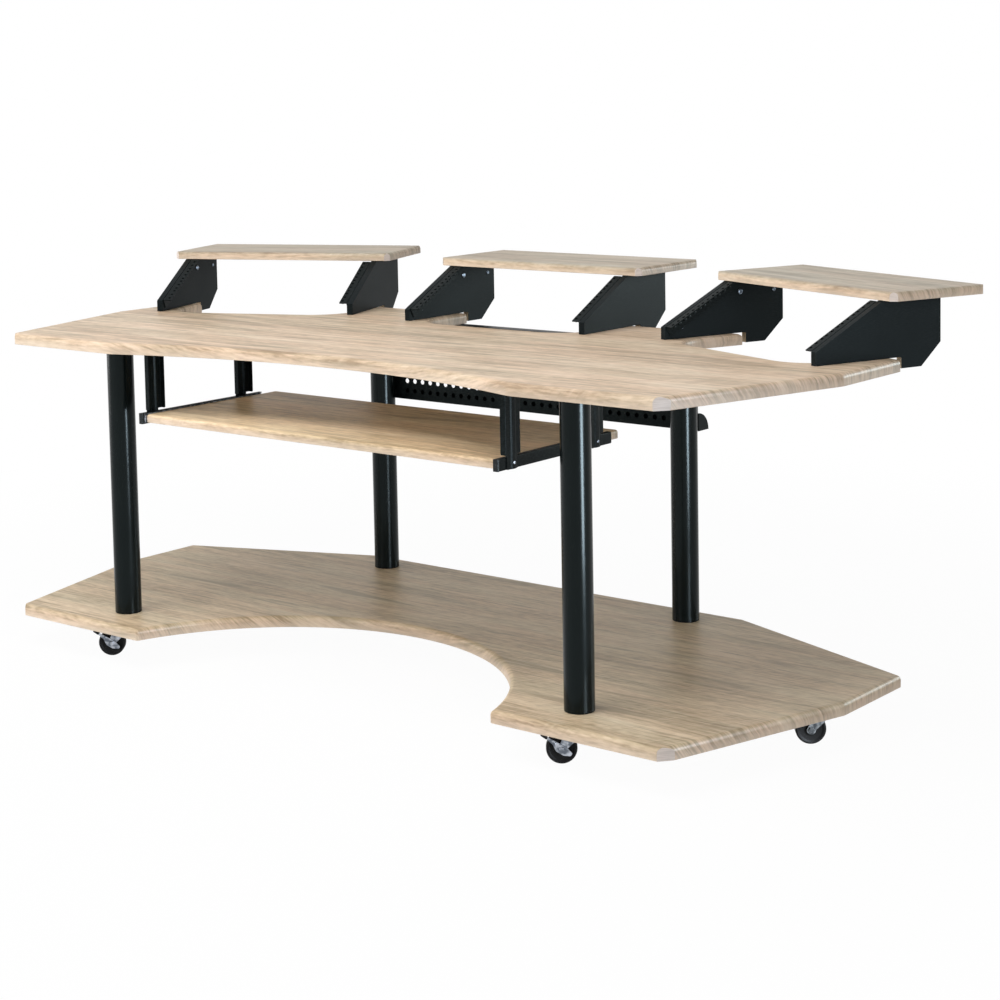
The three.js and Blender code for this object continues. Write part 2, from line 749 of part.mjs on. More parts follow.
// The pedal's arms turn on the ends of the axle, and its pad lies past the wheel's rim
function brakePedal() {
  const inner = cheekFace + forkSheet + seatGap;
  const outer = inner + pedalSheet;
  const eye = [];
  for (let s = 0; s <= smallSides; s += 1) {
    const angle = -Math.PI / 2 - Math.PI * s / smallSides;
    eye.push([pedalEyeRadius * Math.cos(angle), pedalEyeRadius * Math.sin(angle)]);
  }
  const padEnd = pedalReach + pedalPadLength;
  const padFoot = pedalArmHeight - pedalPadThickness;
  const arm = [...eye, [padEnd, pedalArmHeight], [padEnd, padFoot], [pedalReach, 0]];
  const hole = rod(axleRadius + runningGap, 'y', -outer - cutOverrun, outer + cutOverrun, smallSides);
  const arms = [prism(arm, 'y', inner, outer), prism(arm, 'y', -outer, -inner)];
  const pad = box([pedalReach, -outer, padFoot], [padEnd, outer, pedalArmHeight]);
  return carved(pad, arms, [hole]).rotateY(-pedalRestTilt);
}

const casterPlaces = [
  ...legPlaces.map(({ name, x, y }) => {
    const brake = name.startsWith('front');
    return { name, x, y: y + (brake ? -casterLegOffset : casterLegOffset), brake };
  }),
  ...[-1, 1].map((side) => {
    const name = side < 0 ? 'side_left' : 'side_right';
    return { name, x: side * (boardHalf - sideCasterInset), y: flareDepth + sideCasterOffset, brake: false };
  }),
];

function addCasters() {
  const [plate, fork, wheel, pedal] = [casterPlate(), casterFork(), casterWheel(), brakePedal()];
  for (const { name, x, y, brake } of casterPlaces) {
    place(desk, `caster_plate_${name}`, plate, zincSteel, [x, y, 0]);
    const swivel = new THREE.Group();
    swivel.position.set(x, y, 0);
    swivel.rotation.z = Math.PI + casterRestTurn;
    desk.add(swivel);
    place(swivel, `caster_fork_${name}`, fork, zincSteel);
    place(swivel, `caster_wheel_${name}`, wheel, blackRubber, [casterTrail, 0, wheelRadius]);
    if (brake) place(swivel, `brake_pedal_${name}`, pedal, blackSteel, [casterTrail, 0, wheelRadius]);
  }
}

addBoards();
addLegs();
addBays();
addTray();
addHangers();
addCableTray();
addCasters();

// The origin moves to the middle of the footprint
desk.updateMatrixWorld(true);
const extent = new THREE.Box3().setFromObject(desk, true);
desk.position.set(-(extent.min.x + extent.max.x) / 2, -(extent.min.y + extent.max.y) / 2, -extent.min.z);

export default desk;
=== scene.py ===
"""Looks of a studio desk on casters, built round its fixed frame.

Lengths are in millimetres, with the floor at Z 0 and the user on the -Y side, and turn into metres
where a mesh is made. Each sub-assembly is a class: its fields are its sizes, and its methods build
its meshes and dress them.
"""

import logging
import math
from collections.abc import Callable, Iterable, Sequence
from dataclasses import dataclass, field
from enum import Enum

import bmesh
import bpy
from mathutils import Matrix, Vector
from mathutils.geometry import delaunay_2d_cdt


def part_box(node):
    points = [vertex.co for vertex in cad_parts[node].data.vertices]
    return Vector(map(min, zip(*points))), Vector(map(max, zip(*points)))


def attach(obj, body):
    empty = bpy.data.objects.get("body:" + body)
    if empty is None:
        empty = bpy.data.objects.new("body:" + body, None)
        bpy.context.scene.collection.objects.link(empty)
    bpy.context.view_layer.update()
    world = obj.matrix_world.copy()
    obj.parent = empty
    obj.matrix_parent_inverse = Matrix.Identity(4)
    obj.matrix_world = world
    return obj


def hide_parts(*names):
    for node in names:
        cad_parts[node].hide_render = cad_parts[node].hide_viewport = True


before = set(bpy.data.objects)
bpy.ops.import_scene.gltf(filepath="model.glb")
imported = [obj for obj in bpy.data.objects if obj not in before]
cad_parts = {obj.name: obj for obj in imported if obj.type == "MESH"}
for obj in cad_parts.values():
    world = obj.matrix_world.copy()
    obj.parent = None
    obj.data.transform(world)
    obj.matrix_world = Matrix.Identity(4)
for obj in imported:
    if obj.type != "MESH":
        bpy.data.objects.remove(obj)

log = logging.getLogger("studio_desk")

Point = tuple[float, float]
Corner = tuple[float, float, float]
Colour = tuple[float, float, float]
Scales = tuple[float, float, float]
Ends = tuple[float, float]

# A screw head is its radius, height and socket radius. A nut is its width across flats and height.
Screw = tuple[float, float, float]
Nut = tuple[float, float]

MM = 0.001
WHITE: Colour = (1, 1, 1)
NOISE_MIDDLE = 0.5
SEAT_GAP = 0.3
WELD = 1e-6
SHARP_ANGLE = math.radians(34)
CHORD_ERROR = 0.05
COARSEST_STEP = math.radians(18)
MAX_TANGENT_SHARE = 0.48
BEVEL_STEPS = 2
FOIL_STEPS = 7
FOIL_CHAMFER = 0.8
DOME_STEPS = 5

# The heights in a screw head's socket are shares of the head's height. A nut's chamfer is a share of
# its width, and the chamfer's rise and run are shares of that.
CUP_SIDE = 0.35
CUP_FLOOR = 0.3
NUT_CHAMFER = 0.12
NUT_CHAMFER_RISE = 0.5
NUT_CHAMFER_RUN = 0.6
HEXAGON = 6
SIDES = (-1, 1)
HANDS = {-1: "left", 1: "right"}

# The sockets of a Mix node's two colours.
MIX_COLOURS = (6, 7)

# Each bay has its side and the place in the printed grain that its shelf is cut from.
BAYS = (("left", -1, 17.3), ("centre", 0, 23.8), ("right", 1, 31.2))
LEGS = ("front_left", "front_right", "rear_left", "rear_right")
CASTERS = (*LEGS, "side_left", "side_right")


class Slot(Enum):
    """The record's material slots."""

    OAK = "oak_board"
    PANEL = "black_panel"
    STEEL = "black_steel"
    ZINC = "zinc_steel"
    TYRE = "black_tyre"
    PEDAL = "pedal_plastic"


class Axis(Enum):
    """The direction that a turned or drawn-out form runs in."""

    X = "x"
    Y = "y"
    Z = "z"


# Shader maths


class Wire:
    """A number that runs along a wire of a material, so that sums on it read as Python."""

    def __init__(self, shader: "Shader", socket: bpy.types.NodeSocket) -> None:
        """Keeps the socket that the number comes out of."""
        self.shader = shader
        self.socket = socket

    def _math(self, operation: str, first: object, second: object) -> "Wire":
        """Adds a Math node for two values, numbers or wires."""
        return self.shader.add("ShaderNodeMath", {"operation": operation}, {0: first, 1: second})

    def __add__(self, other: object) -> "Wire":
        """This number plus another."""
        return self._math("ADD", self, other)

    def __radd__(self, other: object) -> "Wire":
        """Another number plus this one."""
        return self._math("ADD", other, self)

    def __sub__(self, other: object) -> "Wire":
        """This number less another."""
        return self._math("SUBTRACT", self, other)

    def __rsub__(self, other: object) -> "Wire":
        """Another number less this one."""
        return self._math("SUBTRACT", other, self)

    def __mul__(self, other: object) -> "Wire":
        """This number times another."""
        return self._math("MULTIPLY", self, other)

    def __rmul__(self, other: object) -> "Wire":
        """Another number times this one."""
        return self._math("MULTIPLY", other, self)

    def swing(self, share: float) -> "Wire":
        """How far this noise is from its middle, times a share."""
        return (self - NOISE_MIDDLE) * share

    def ramp(self, low: float, high: float) -> "Wire":
        """A smooth step from 0 at low to 1 at high.

        Args:
            low: The number at which the step starts.
            high: The number at which it ends.

        Returns:
            The step's height, from 0 to 1.
        """
        settings = {"interpolation_type": "SMOOTHSTEP"}
        return self.shader.add("ShaderNodeMapRange", settings, {0: self, 1: low, 2: high, 3: 0.0, 4: 1.0})


class Shader:
    """The node tree of one material."""

    def __init__(self, name: str) -> None:
        """Makes the material with an empty tree.

        Args:
            name: The material's name.
        """
        self.material = bpy.data.materials.new(name)
        self.material.use_nodes = True
        self.tree = self.material.node_tree
        self.tree.nodes.clear()

    def add(self, kind: str, settings: dict, inputs: dict, output: int | str = 0) -> Wire:
        """Adds one node.

        Args:
            kind: The node's type.
            settings: The node's own settings, which are set first. A ramp's stops are "stops".
            inputs: The values or wires of its sockets, by name or number.
            output: The name or number of the socket that the wire starts from.

        Returns:
            A wire from that output.
        """
        node = self.tree.nodes.new(kind)
        for key, value in settings.items():
            if key == "stops":
                self._set_stops(node.color_ramp, value)
            else:
                setattr(node, key, value)
        for key, value in inputs.items():
            if isinstance(value, Wire):
                self.tree.links.new(value.socket, node.inputs[key])
            else:
                node.inputs[key].default_value = value
        return Wire(self, node.outputs[output])

    @staticmethod
    def _set_stops(ramp: bpy.types.ColorRamp, stops: Sequence[tuple[float, Colour]]) -> None:
        """Gives a ramp its places and colours.

        Args:
            ramp: The ramp.
            stops: Its places and their colours.
        """
        while len(ramp.elements) < len(stops):
            ramp.elements.new(0.5)
        for element, (place, colour) in zip(ramp.elements, stops):
            element.position = place
            element.color = (*colour, 1)

    def noise(self, vector: Wire, scale: float | Scales, detail: float = 2.0,
              warp: float = 0.0) -> Wire:
        """A noise from 0 to 1.

        Args:
            vector: Where the noise is read.
            scale: How many lumps there are in a unit, in all or along each axis.
            detail: How many finer layers are added.
            warp: How far the noise is twisted by itself.

        Returns:
            The noise.
        """
        if isinstance(scale, tuple):
            vector, scale = self.stretched(vector, scale), 1.0
        inputs = {"Vector": vector, "Scale": scale, "Detail": detail, "Distortion": warp}
        return self.add("ShaderNodeTexNoise", {}, inputs)

    def vector(self, operation: str, first: object, second: object) -> Wire:
        """A Vector Math node for two vectors."""
        return self.add("ShaderNodeVectorMath", {"operation": operation}, {0: first, 1: second})

    def stretched(self, vector: Wire, scales: Scales) -> Wire:
        """A vector with each of its parts scaled."""
        return self.vector("MULTIPLY", vector, scales)

    def mixed(self, factor: object, first: object, second: object, blend: str = "MIX") -> Wire:
        """Two colours mixed.

        Args:
            factor: The share of the second colour.
            first: A colour or a wire.
            second: A colour or a wire.
            blend: The way that they mix.

        Returns:
            The mixed colour.
        """
        inputs = {0: factor, **dict(zip(MIX_COLOURS, (self._full(first), self._full(second))))}
        return self.add("ShaderNodeMix", {"data_type": "RGBA", "blend_type": blend}, inputs, 2)

    @staticmethod
    def _full(colour: object) -> object:
        """A colour with its alpha, or the wire as it is."""
        return colour if isinstance(colour, Wire) else (*colour, 1)

    def ramped(self, factor: Wire, stops: Sequence[tuple[float, Colour]]) -> Wire:
        """The colour of a ramp at a number."""
        return self.add("ShaderNodeValToRGB", {"stops": stops}, {0: factor})

    def attribute(self, name: str, output: str) -> Wire:
        """A value that the mesh carries."""
        return self.add("ShaderNodeAttribute", {"attribute_name": name}, {}, output)

    def here(self) -> Wire:
        """Where the surface is, in metres, in the piece's own frame."""
        return self.add("ShaderNodeTexCoord", {}, {}, "Object")

    def edges(self) -> Wire:
        """How much the surface sticks out, about half on a flat one."""
        return self.add("ShaderNodeNewGeometry", {}, {}, "Pointiness")

    def close(self, inputs: dict) -> bpy.types.Material:
        """Ends the tree in a Principled shader with these inputs, and returns the material."""
        self.add_output(self.add("ShaderNodeBsdfPrincipled", {}, inputs))
        return self.material

    def add_output(self, surface: Wire) -> None:
        """Leads a shader to the material's output."""
        output = self.tree.nodes.new("ShaderNodeOutputMaterial")
        self.tree.links.new(surface.socket, output.inputs["Surface"])


# Finishes


@dataclass(frozen=True)
class Finish:
    """A finish by its name. Its material is made once and then shared."""

    name: str

    def material(self) -> bpy.types.Material:
        """The finish's material."""
        return bpy.data.materials.get(self.name) or self.build(Shader(self.name))

    def build(self, shader: Shader) -> bpy.types.Material:
        """Builds the material's nodes."""
        raise NotImplementedError


@dataclass(frozen=True)
class Relief:
    """How strongly a height shows, and how deep it is in metres."""

    strength: float
    depth: float

    def normal(self, shader: Shader, height: Wire) -> Wire:
        """The normal that follows a height from 0 to 1."""
        inputs = {"Height": height, "Strength": self.strength, "Distance": self.depth}
        return shader.add("ShaderNodeBump", {}, inputs, "Normal")


@dataclass(frozen=True)
class Streaks:
    """One layer of streaks along the grain, with its length and width in metres.

    Its share says how much it shows. Its ends are the noise at which clear streaks start and are full.
    """

    length: float
    width: float
    share: float
    detail: float = 3.0
    warp: float = 0.0
    ends: Ends = (0.0, 1.0)

    def wave(self, shader: Shader, grain: Wire) -> Wire:
        """The layer as a noise from 0 to 1."""
        scales = (1 / self.length, 1 / self.width, 1)
        return shader.noise(grain, scales, self.detail, self.warp)

    def clear(self, shader: Shader, grain: Wire) -> Wire:
        """The layer as streaks with clear ends."""
        return self.wave(shader, grain).ramp(*self.ends)


@dataclass(frozen=True)
class OakFoil(Finish):
    """Pale sawn-oak foil, with long streaks along the board and short saw marks across it.

    The stops are the tones of its five main colours. The painted light and shade tints the flat of the
    board only: painted shade where it darkens it, painted light where it brightens it.
    """

    name: str = "oak_foil"
    deep: Colour = (0.25, 0.185, 0.118)
    brown: Colour = (0.40, 0.295, 0.198)
    sand: Colour = (0.535, 0.405, 0.287)
    tan: Colour = (0.625, 0.481, 0.348)
    cream: Colour = (0.705, 0.553, 0.412)
    pale: Colour = (0.80, 0.652, 0.518)
    warm: Colour = (1.0, 0.965, 0.925)
    cool: Colour = (0.94, 0.955, 0.92)
    # A painted highlight: the pale colour that the lower part of each edge turns to.
    rim: Colour = (0.80, 0.67, 0.55)
    # A tint of painted light and shade on the board's flat.
    painted_light_and_shade: Colour = WHITE
    stops: tuple[float, ...] = (0.18, 0.36, 0.5, 0.64, 0.86)
    wander_scales: Scales = (1.3, 3.2, 1)
    wander_reach: float = 0.05
    broad: Streaks = Streaks(0.9, 0.11, 0.72, detail=2.0)
    band: Streaks = Streaks(0.36, 0.032, 0.8)
    rib: Streaks = Streaks(0.12, 0.0095, 0.85)
    fibre: Streaks = Streaks(0.026, 0.0042, 1.0)
    smudge: Streaks = Streaks(0.42, 0.055, 0.25, detail=4.0, warp=0.6, ends=(0.57, 0.7))
    smudge_ribs: float = 0.6
    line: Streaks = Streaks(0.26, 0.012, 0.6, ends=(0.59, 0.7))
    light: Streaks = Streaks(0.3, 0.016, 0.55, warp=0.3, ends=(0.58, 0.72))
    saw_angle: float = math.radians(-58)
    saw_scales: Scales = (14.0, 120.0, 1)
    saw_patch_scales: Scales = (4.0, 13.0, 1)
    saw_patch_ends: Ends = (0.44, 0.58)
    saw_pale_ends: Ends = (0.5, 0.66)
    saw_pale_share: float = 0.28
    saw_brown_ends: Ends = (0.5, 0.36)
    saw_brown_share: float = 0.22
    tint_scales: Scales = (3.2, 15.0, 1)
    tint_ends: Ends = (0.36, 0.64)
    rim_highlight_ends: Ends = (0.4, 0.95)
    rim_highlight_share: float = 0.4
    # Where on the edge the painted light and shade fades out.
    painted_light_ends: Ends = (0.15, 0.6)
    roughness: float = 0.44
    roughness_swing: float = 0.22
    specular: float = 0.28
    relief: Relief = Relief(0.25, 0.0004)
    relief_shares: Scales = (0.5, 0.2, 0.3)

    def build(self, shader: Shader) -> bpy.types.Material:
        """Builds the material's nodes.

        Args:
            shader: The material's tree.

        Returns:
            The finished material.
        """
        foil = shader.attribute("foil", "Vector")
        rim = shader.attribute("rim", "Fac")
        wander = shader.noise(foil, self.wander_scales)
        drift = shader.add("ShaderNodeCombineXYZ", {}, {"Y": wander.swing(self.wander_reach)})
        grain = shader.vector("ADD", foil, drift)
        layers = (self.broad, self.band, self.rib, self.fibre)
        waves = [layer.wave(shader, grain) for layer in layers]
        tone = NOISE_MIDDLE
        for layer, wave in zip(layers, waves):
            tone = tone + wave.swing(layer.share)
        hues = (self.brown, self.sand, self.tan, self.cream, self.pale)
        colour = shader.ramped(tone, list(zip(self.stops, hues)))
        rib, fibre = waves[-2:]
        smudged = self.smudge.clear(shader, grain) * (self.smudge.share + rib * self.smudge_ribs)
        colour = shader.mixed(smudged, colour, self.deep)
        colour = shader.mixed(self.line.clear(shader, grain) * self.line.share, colour, self.deep)
        colour = shader.mixed(self.light.clear(shader, grain) * self.light.share, colour, self.pale)
        sawn = shader.add("ShaderNodeVectorRotate", {"rotation_type": "Z_AXIS"},
                          {"Vector": foil, "Angle": self.saw_angle})
        marks = shader.noise(sawn, self.saw_scales)
        patches = shader.noise(foil, self.saw_patch_scales)
        shown = patches.ramp(*self.saw_patch_ends) * (1.0 - rim)
        pale_marks = marks.ramp(*self.saw_pale_ends) * shown * self.saw_pale_share
        brown_marks = marks.ramp(*self.saw_brown_ends) * shown * self.saw_brown_share
        colour = shader.mixed(pale_marks, colour, self.pale)
        colour = shader.mixed(brown_marks, colour, self.brown)
        tint = shader.noise(foil, self.tint_scales).ramp(*self.tint_ends)
        colour = shader.mixed(1.0, colour, shader.mixed(tint, self.warm, self.cool), "MULTIPLY")
        # Painted highlight: the edge turns paler towards its foot, as if lit more strongly than the flat.
        colour = shader.mixed(rim.ramp(*self.rim_highlight_ends) * self.rim_highlight_share, colour, self.rim)
        # Painted light and shade on the flat of the board: a tint that darkens it where it stands for
        # shade and brightens it where it stands for light. The edge keeps its colour.
        if self.painted_light_and_shade != WHITE:
            shade = shader.mixed(rim.ramp(*self.painted_light_ends), self.painted_light_and_shade, WHITE)
            colour = shader.mixed(1.0, colour, shade, "MULTIPLY")
        of_fibre, of_rib, of_marks = self.relief_shares
        height = fibre * of_fibre + rib * of_rib + marks * of_marks
        return shader.close({
            "Base Color": colour,
            "Roughness": self.roughness + fibre.swing(self.roughness_swing),
            "Normal": self.relief.normal(shader, height),
            "Specular IOR Level": self.specular,
        })


@dataclass(frozen=True)
class TipBand(Finish):
    """The thin band that covers a board's cut tips, paler and greyer than the foil."""

    name: str = "tip_band"
    colour: Colour = (0.71, 0.625, 0.57)
    shade: Colour = (0.62, 0.54, 0.485)
    line_scales: Scales = (30, 30, 420)
    line_ends: Ends = (0.35, 0.65)
    speck_scale: float = 700.0
    roughness: float = 0.5
    roughness_swing: float = 0.2
    specular: float = 0.15
    relief: Relief = Relief(0.2, 0.0003)

    def build(self, shader: Shader) -> bpy.types.Material:
        """Builds the material's nodes.

        Args:
            shader: The material's tree.

        Returns:
            The finished material.
        """
        here = shader.here()
        lines = shader.noise(here, self.line_scales, detail=3.0)
        speck = shader.noise(here, self.speck_scale)
        return shader.close({
            "Base Color": shader.mixed(lines.ramp(*self.line_ends), self.colour, self.shade),
            "Roughness": self.roughness + speck.swing(self.roughness_swing),
            "Normal": self.relief.normal(shader, lines),
            "Specular IOR Level": self.specular,
        })


@dataclass(frozen=True)
class PlainPaper(Finish):
    """Pale paper that backs the boards underneath."""

    name: str = "board_backing"
    colour: Colour = (0.62, 0.55, 0.46)
    shade: Colour = (0.54, 0.475, 0.39)
    mottle_scale: float = 60.0
    speck_scale: float = 900.0
    roughness: float = 0.62
    roughness_swing: float = 0.3
    relief: Relief = Relief(0.15, 0.0003)

    def build(self, shader: Shader) -> bpy.types.Material:
        """Builds the material's nodes.

        Args:
            shader: The material's tree.

        Returns:
            The finished material.
        """
        here = shader.here()
        mottle = shader.noise(here, self.mottle_scale, detail=4.0)
        speck = shader.noise(here, self.speck_scale)
        return shader.close({
            "Base Color": shader.mixed(mottle, self.colour, self.shade),
            "Roughness": self.roughness + speck.swing(self.roughness_swing),
            "Normal": self.relief.normal(shader, speck),
        })


@dataclass(frozen=True)
class RawFibreboard(Finish):
    """The bare sawn edge of a fibreboard panel."""

    name: str = "raw_fibreboard"
    colour: Colour = (0.56, 0.43, 0.28)
    shade: Colour = (0.40, 0.30, 0.19)
    fibre_stretch: Scales = (1, 1, 3)
    fibre_scale: float = 700.0
    fibre_ends: Ends = (0.3, 0.7)
    roughness: float = 0.75
    roughness_swing: float = 0.3
    relief: Relief = Relief(0.5, 0.0004)

    def build(self, shader: Shader) -> bpy.types.Material:
        """Builds the material's nodes.

        Args:
            shader: The material's tree.

        Returns:
            The finished material.
        """
        stretched = shader.stretched(shader.here(), self.fibre_stretch)
        fibres = shader.noise(stretched, self.fibre_scale, detail=4.0)
        return shader.close({
            "Base Color": shader.mixed(fibres.ramp(*self.fibre_ends), self.shade, self.colour),
            "Roughness": self.roughness + fibres.swing(self.roughness_swing),
            "Normal": self.relief.normal(shader, fibres),
        })


@dataclass(frozen=True)
class BlackCoat(Finish):
    """Black paint or powder coat, with an orange-peel skin and rubbed edges."""

    colour: Colour = (0.0040, 0.0062, 0.0064)
    rubbed: Colour = (0.03, 0.035, 0.037)
    sheen: Colour = (0.84, 0.98, 1.0)
    roughness: float = 0.3
    specular: float = 0.2
    skin: float = 0.12
    skin_scale: float = 1400.0
    skin_depth: float = 0.0002
    cloud_scale: float = 14.0
    cloud_share: float = 0.35
    cloud_gain: float = 1.5
    cloud_swing: float = 0.10
    scuff_stretch: Scales = (1, 1, 6)
    scuff_scale: float = 120.0
    scuff_ends: Ends = (0.55, 0.8)
    scuff_share: float = 0.06
    rub_ends: Ends = (0.42, 0.62)
    rub_edges: Ends = (0.53, 0.62)
    rub_share: float = 0.35

    def build(self, shader: Shader) -> bpy.types.Material:
        """Builds the material's nodes.

        Args:
            shader: The material's tree.

        Returns:
            The finished material.
        """
        here = shader.here()
        skin = shader.noise(here, self.skin_scale)
        cloud = shader.noise(here, self.cloud_scale, detail=3.0)
        scuff = shader.noise(shader.stretched(here, self.scuff_stretch), self.scuff_scale, detail=4.0)
        worn = shader.edges().ramp(*self.rub_edges) * scuff.ramp(*self.rub_ends)
        cloudy = [c * self.cloud_gain for c in self.colour]
        colour = shader.mixed(cloud * self.cloud_share, self.colour, cloudy)
        scuffs = scuff.ramp(*self.scuff_ends) * self.scuff_share
        return shader.close({
            "Base Color": shader.mixed(worn * self.rub_share, colour, self.rubbed),
            "Roughness": self.roughness + cloud.swing(self.cloud_swing) + scuffs,
            "Normal": Relief(self.skin, self.skin_depth).normal(shader, skin),
            "Specular IOR Level": self.specular,
            "Specular Tint": (*self.sheen, 1),
        })


@dataclass(frozen=True)
class ZincPlate(Finish):
    """Bright zinc plate with faint clouds and drawing lines."""

    name: str = "zinc_plate"
    bright: Colour = (0.46, 0.485, 0.53)
    dull: Colour = (0.12, 0.135, 0.16)
    cloud_scale: float = 90.0
    cloud_warp: float = 0.4
    cloud_ends: Ends = (0.38, 0.66)
    line_scales: Scales = (60, 60, 900)
    spot_scale: float = 520.0
    spot_ends: Ends = (0.68, 0.8)
    spot_share: float = 0.5
    spot_shade: float = 0.6
    roughness: float = 0.24
    cloud_roughness: float = 0.14
    line_roughness: float = 0.08
    relief: Relief = Relief(0.08, 0.0002)

    def build(self, shader: Shader) -> bpy.types.Material:
        """Builds the material's nodes.

        Args:
            shader: The material's tree.

        Returns:
            The finished material.
        """
        here = shader.here()
        cloud = shader.noise(here, self.cloud_scale, 4.0, self.cloud_warp)
        lines = shader.noise(here, self.line_scales)
        spots = shader.noise(here, self.spot_scale).ramp(*self.spot_ends)
        colour = shader.mixed(cloud.ramp(*self.cloud_ends), self.dull, self.bright)
        spotted = [c * self.spot_shade for c in self.dull]
        matt = self.roughness + cloud * self.cloud_roughness + lines * self.line_roughness
        return shader.close({
            "Base Color": shader.mixed(spots * self.spot_share, colour, spotted),
            "Metallic": 1.0,
            "Roughness": matt,
            "Normal": self.relief.normal(shader, lines),
        })


@dataclass(frozen=True)
class BlackRubber(Finish):
    """The dark tread and side walls of a caster wheel."""

    name: str = "black_tread"
    colour: Colour = (0.0045, 0.0047, 0.005)
    dust: Colour = (0.022, 0.021, 0.02)
    grit_scale: float = 800.0
    film_scale: float = 70.0
    film_ends: Ends = (0.5, 0.78)
    film_share: float = 0.35
    roughness: float = 0.46
    grit_roughness: float = 0.16
    film_roughness: float = 0.12
    specular: float = 0.12
    relief: Relief = Relief(0.2, 0.0002)

    def build(self, shader: Shader) -> bpy.types.Material:
        """Builds the material's nodes.

        Args:
            shader: The material's tree.

        Returns:
            The finished material.
        """
        here = shader.here()
        grit = shader.noise(here, self.grit_scale, detail=3.0)
        film = shader.noise(here, self.film_scale, detail=4.0).ramp(*self.film_ends)
        matt = self.roughness + grit * self.grit_roughness + film * self.film_roughness
        return shader.close({
            "Base Color": shader.mixed(film * self.film_share, self.colour, self.dust),
            "Roughness": matt,
            "Normal": self.relief.normal(shader, grit),
            "Specular IOR Level": self.specular,
        })


LEG_COAT = BlackCoat("leg_coat", roughness=0.2, specular=0.13, skin=0.04, skin_scale=900.0)
STEEL_COAT = BlackCoat("steel_coat", roughness=0.36, specular=0.05, skin=0.08, skin_scale=2200.0)
PANEL_PAINT = BlackCoat(
    "panel_paint", colour=(0.0034, 0.0056, 0.0064),
    roughness=0.46, specular=0.055, skin=0.3, skin_scale=1500.0,
)
PEDAL_MOULDING = BlackCoat(
    "pedal_moulding", colour=(0.006, 0.006, 0.0065),
    roughness=0.42, specular=0.2, skin=0.3, skin_scale=3000.0,
)
OAK = OakFoil()
# The lower board's top gets painted shade: a slightly darker, greener tint that stands for the shade and
# bounce light under the worktop.
LOWER_OAK_PAINTED_SHADE = OakFoil("lower_oak_foil_painted_shade", painted_light_and_shade=(0.945, 0.97, 0.915))
# The tray's top gets painted light: brighter and yellower than the other boards, as if lit more under the
# worktop.
TRAY_OAK_PAINTED_LIGHT = OakFoil("tray_oak_foil_painted_light", painted_light_and_shade=(1.12, 1.1, 0.98))
# The shelves' tops get painted shade: darker and greyer than the worktop's, as if less lit.
SHELF_OAK_PAINTED_SHADE = OakFoil("shelf_oak_foil_painted_shade", painted_light_and_shade=(0.70, 0.76, 0.80))
BACKING = PlainPaper()
TIP_BAND = TipBand()
RAW_EDGE = RawFibreboard()
ZINC = ZincPlate()
# Painted shade: a darker copy of the zinc plate for the bolts on the panels' inner faces.
BOLT_ZINC_PAINTED_SHADE = ZincPlate("bolt_zinc_painted_shade", bright=(0.2, 0.235, 0.28), dull=(0.08, 0.095, 0.115))
# Painted shade: a darker copy of the zinc plate for the forks of the casters without a brake.
ZINC_PAINTED_SHADE = ZincPlate("zinc_painted_shade", bright=(0.16, 0.17, 0.175), dull=(0.05, 0.055, 0.06))
RUBBER = BlackRubber()


# Shapes


@dataclass
class Shape:
    """The corners and faces of one piece, in millimetres, before it is a mesh."""

    points: list[Vector] = field(default_factory=list)
    faces: list[tuple[int, ...]] = field(default_factory=list)
    finish_of_face: list[int] = field(default_factory=list)
    foil: list[Vector] = field(default_factory=list)
    rim: list[float] = field(default_factory=list)

    def add(self, other: "Shape", matrix: Matrix | None = None, finish: int = 0) -> "Shape":
        """Adds a copy of another shape.

        Args:
            other: The shape that is added.
            matrix: Where the copy goes.
            finish: The number of the finish that its faces get, added to their own.

        Returns:
            This shape.
        """
        first = len(self.points)
        self.points += [(matrix @ p if matrix else p.copy()) for p in other.points]
        self.faces += [tuple(first + i for i in face) for face in other.faces]
        own = other.finish_of_face or [0] * len(other.faces)
        self.finish_of_face += [finish + number for number in own]
        self.foil += other.foil
        self.rim += other.rim
        return self

    def moved(self, matrix: Matrix) -> "Shape":
        """A copy of this shape in another place."""
        return Shape().add(self, matrix)


def at(x: float = 0, y: float = 0, z: float = 0, turn: float = 0) -> Matrix:
    """A move to a place and a turn about Z there."""
    return Matrix.Translation((x, y, z)) @ Matrix.Rotation(turn, 4, "Z")


def facing(axis: Axis, side: float = 1) -> Matrix:
    """A turn that takes +Z to an axis, forwards or backwards along it.

    Args:
        axis: The axis that +Z goes to.
        side: 1 or -1, for forwards or backwards.

    Returns:
        The turn.
    """
    turns = {
        Axis.X: Matrix.Rotation(side * math.pi / 2, 4, "Y"),
        Axis.Y: Matrix.Rotation(-side * math.pi / 2, 4, "X"),
        Axis.Z: Matrix.Rotation(0 if side > 0 else math.pi, 4, "X"),
    }
    return turns[axis]


def mirrored(hand: int) -> Matrix:
    """A mirror across X for the left hand, and no change for the right one."""
    return Matrix.Scale(hand, 4, Vector((1, 0, 0)))


def arc_steps(radius: float, sweep: float) -> int:
    """How many straight steps an arc gets.

    Args:
        radius: The arc's radius.
        sweep: How far it turns, in radians.

    Returns:
        The least number of steps that stays close to the arc.
    """
    step = 2 * math.acos(max(0.0, 1 - CHORD_ERROR / max(radius, CHORD_ERROR)))
    return max(2, math.ceil(abs(sweep) / min(step, COARSEST_STEP)))


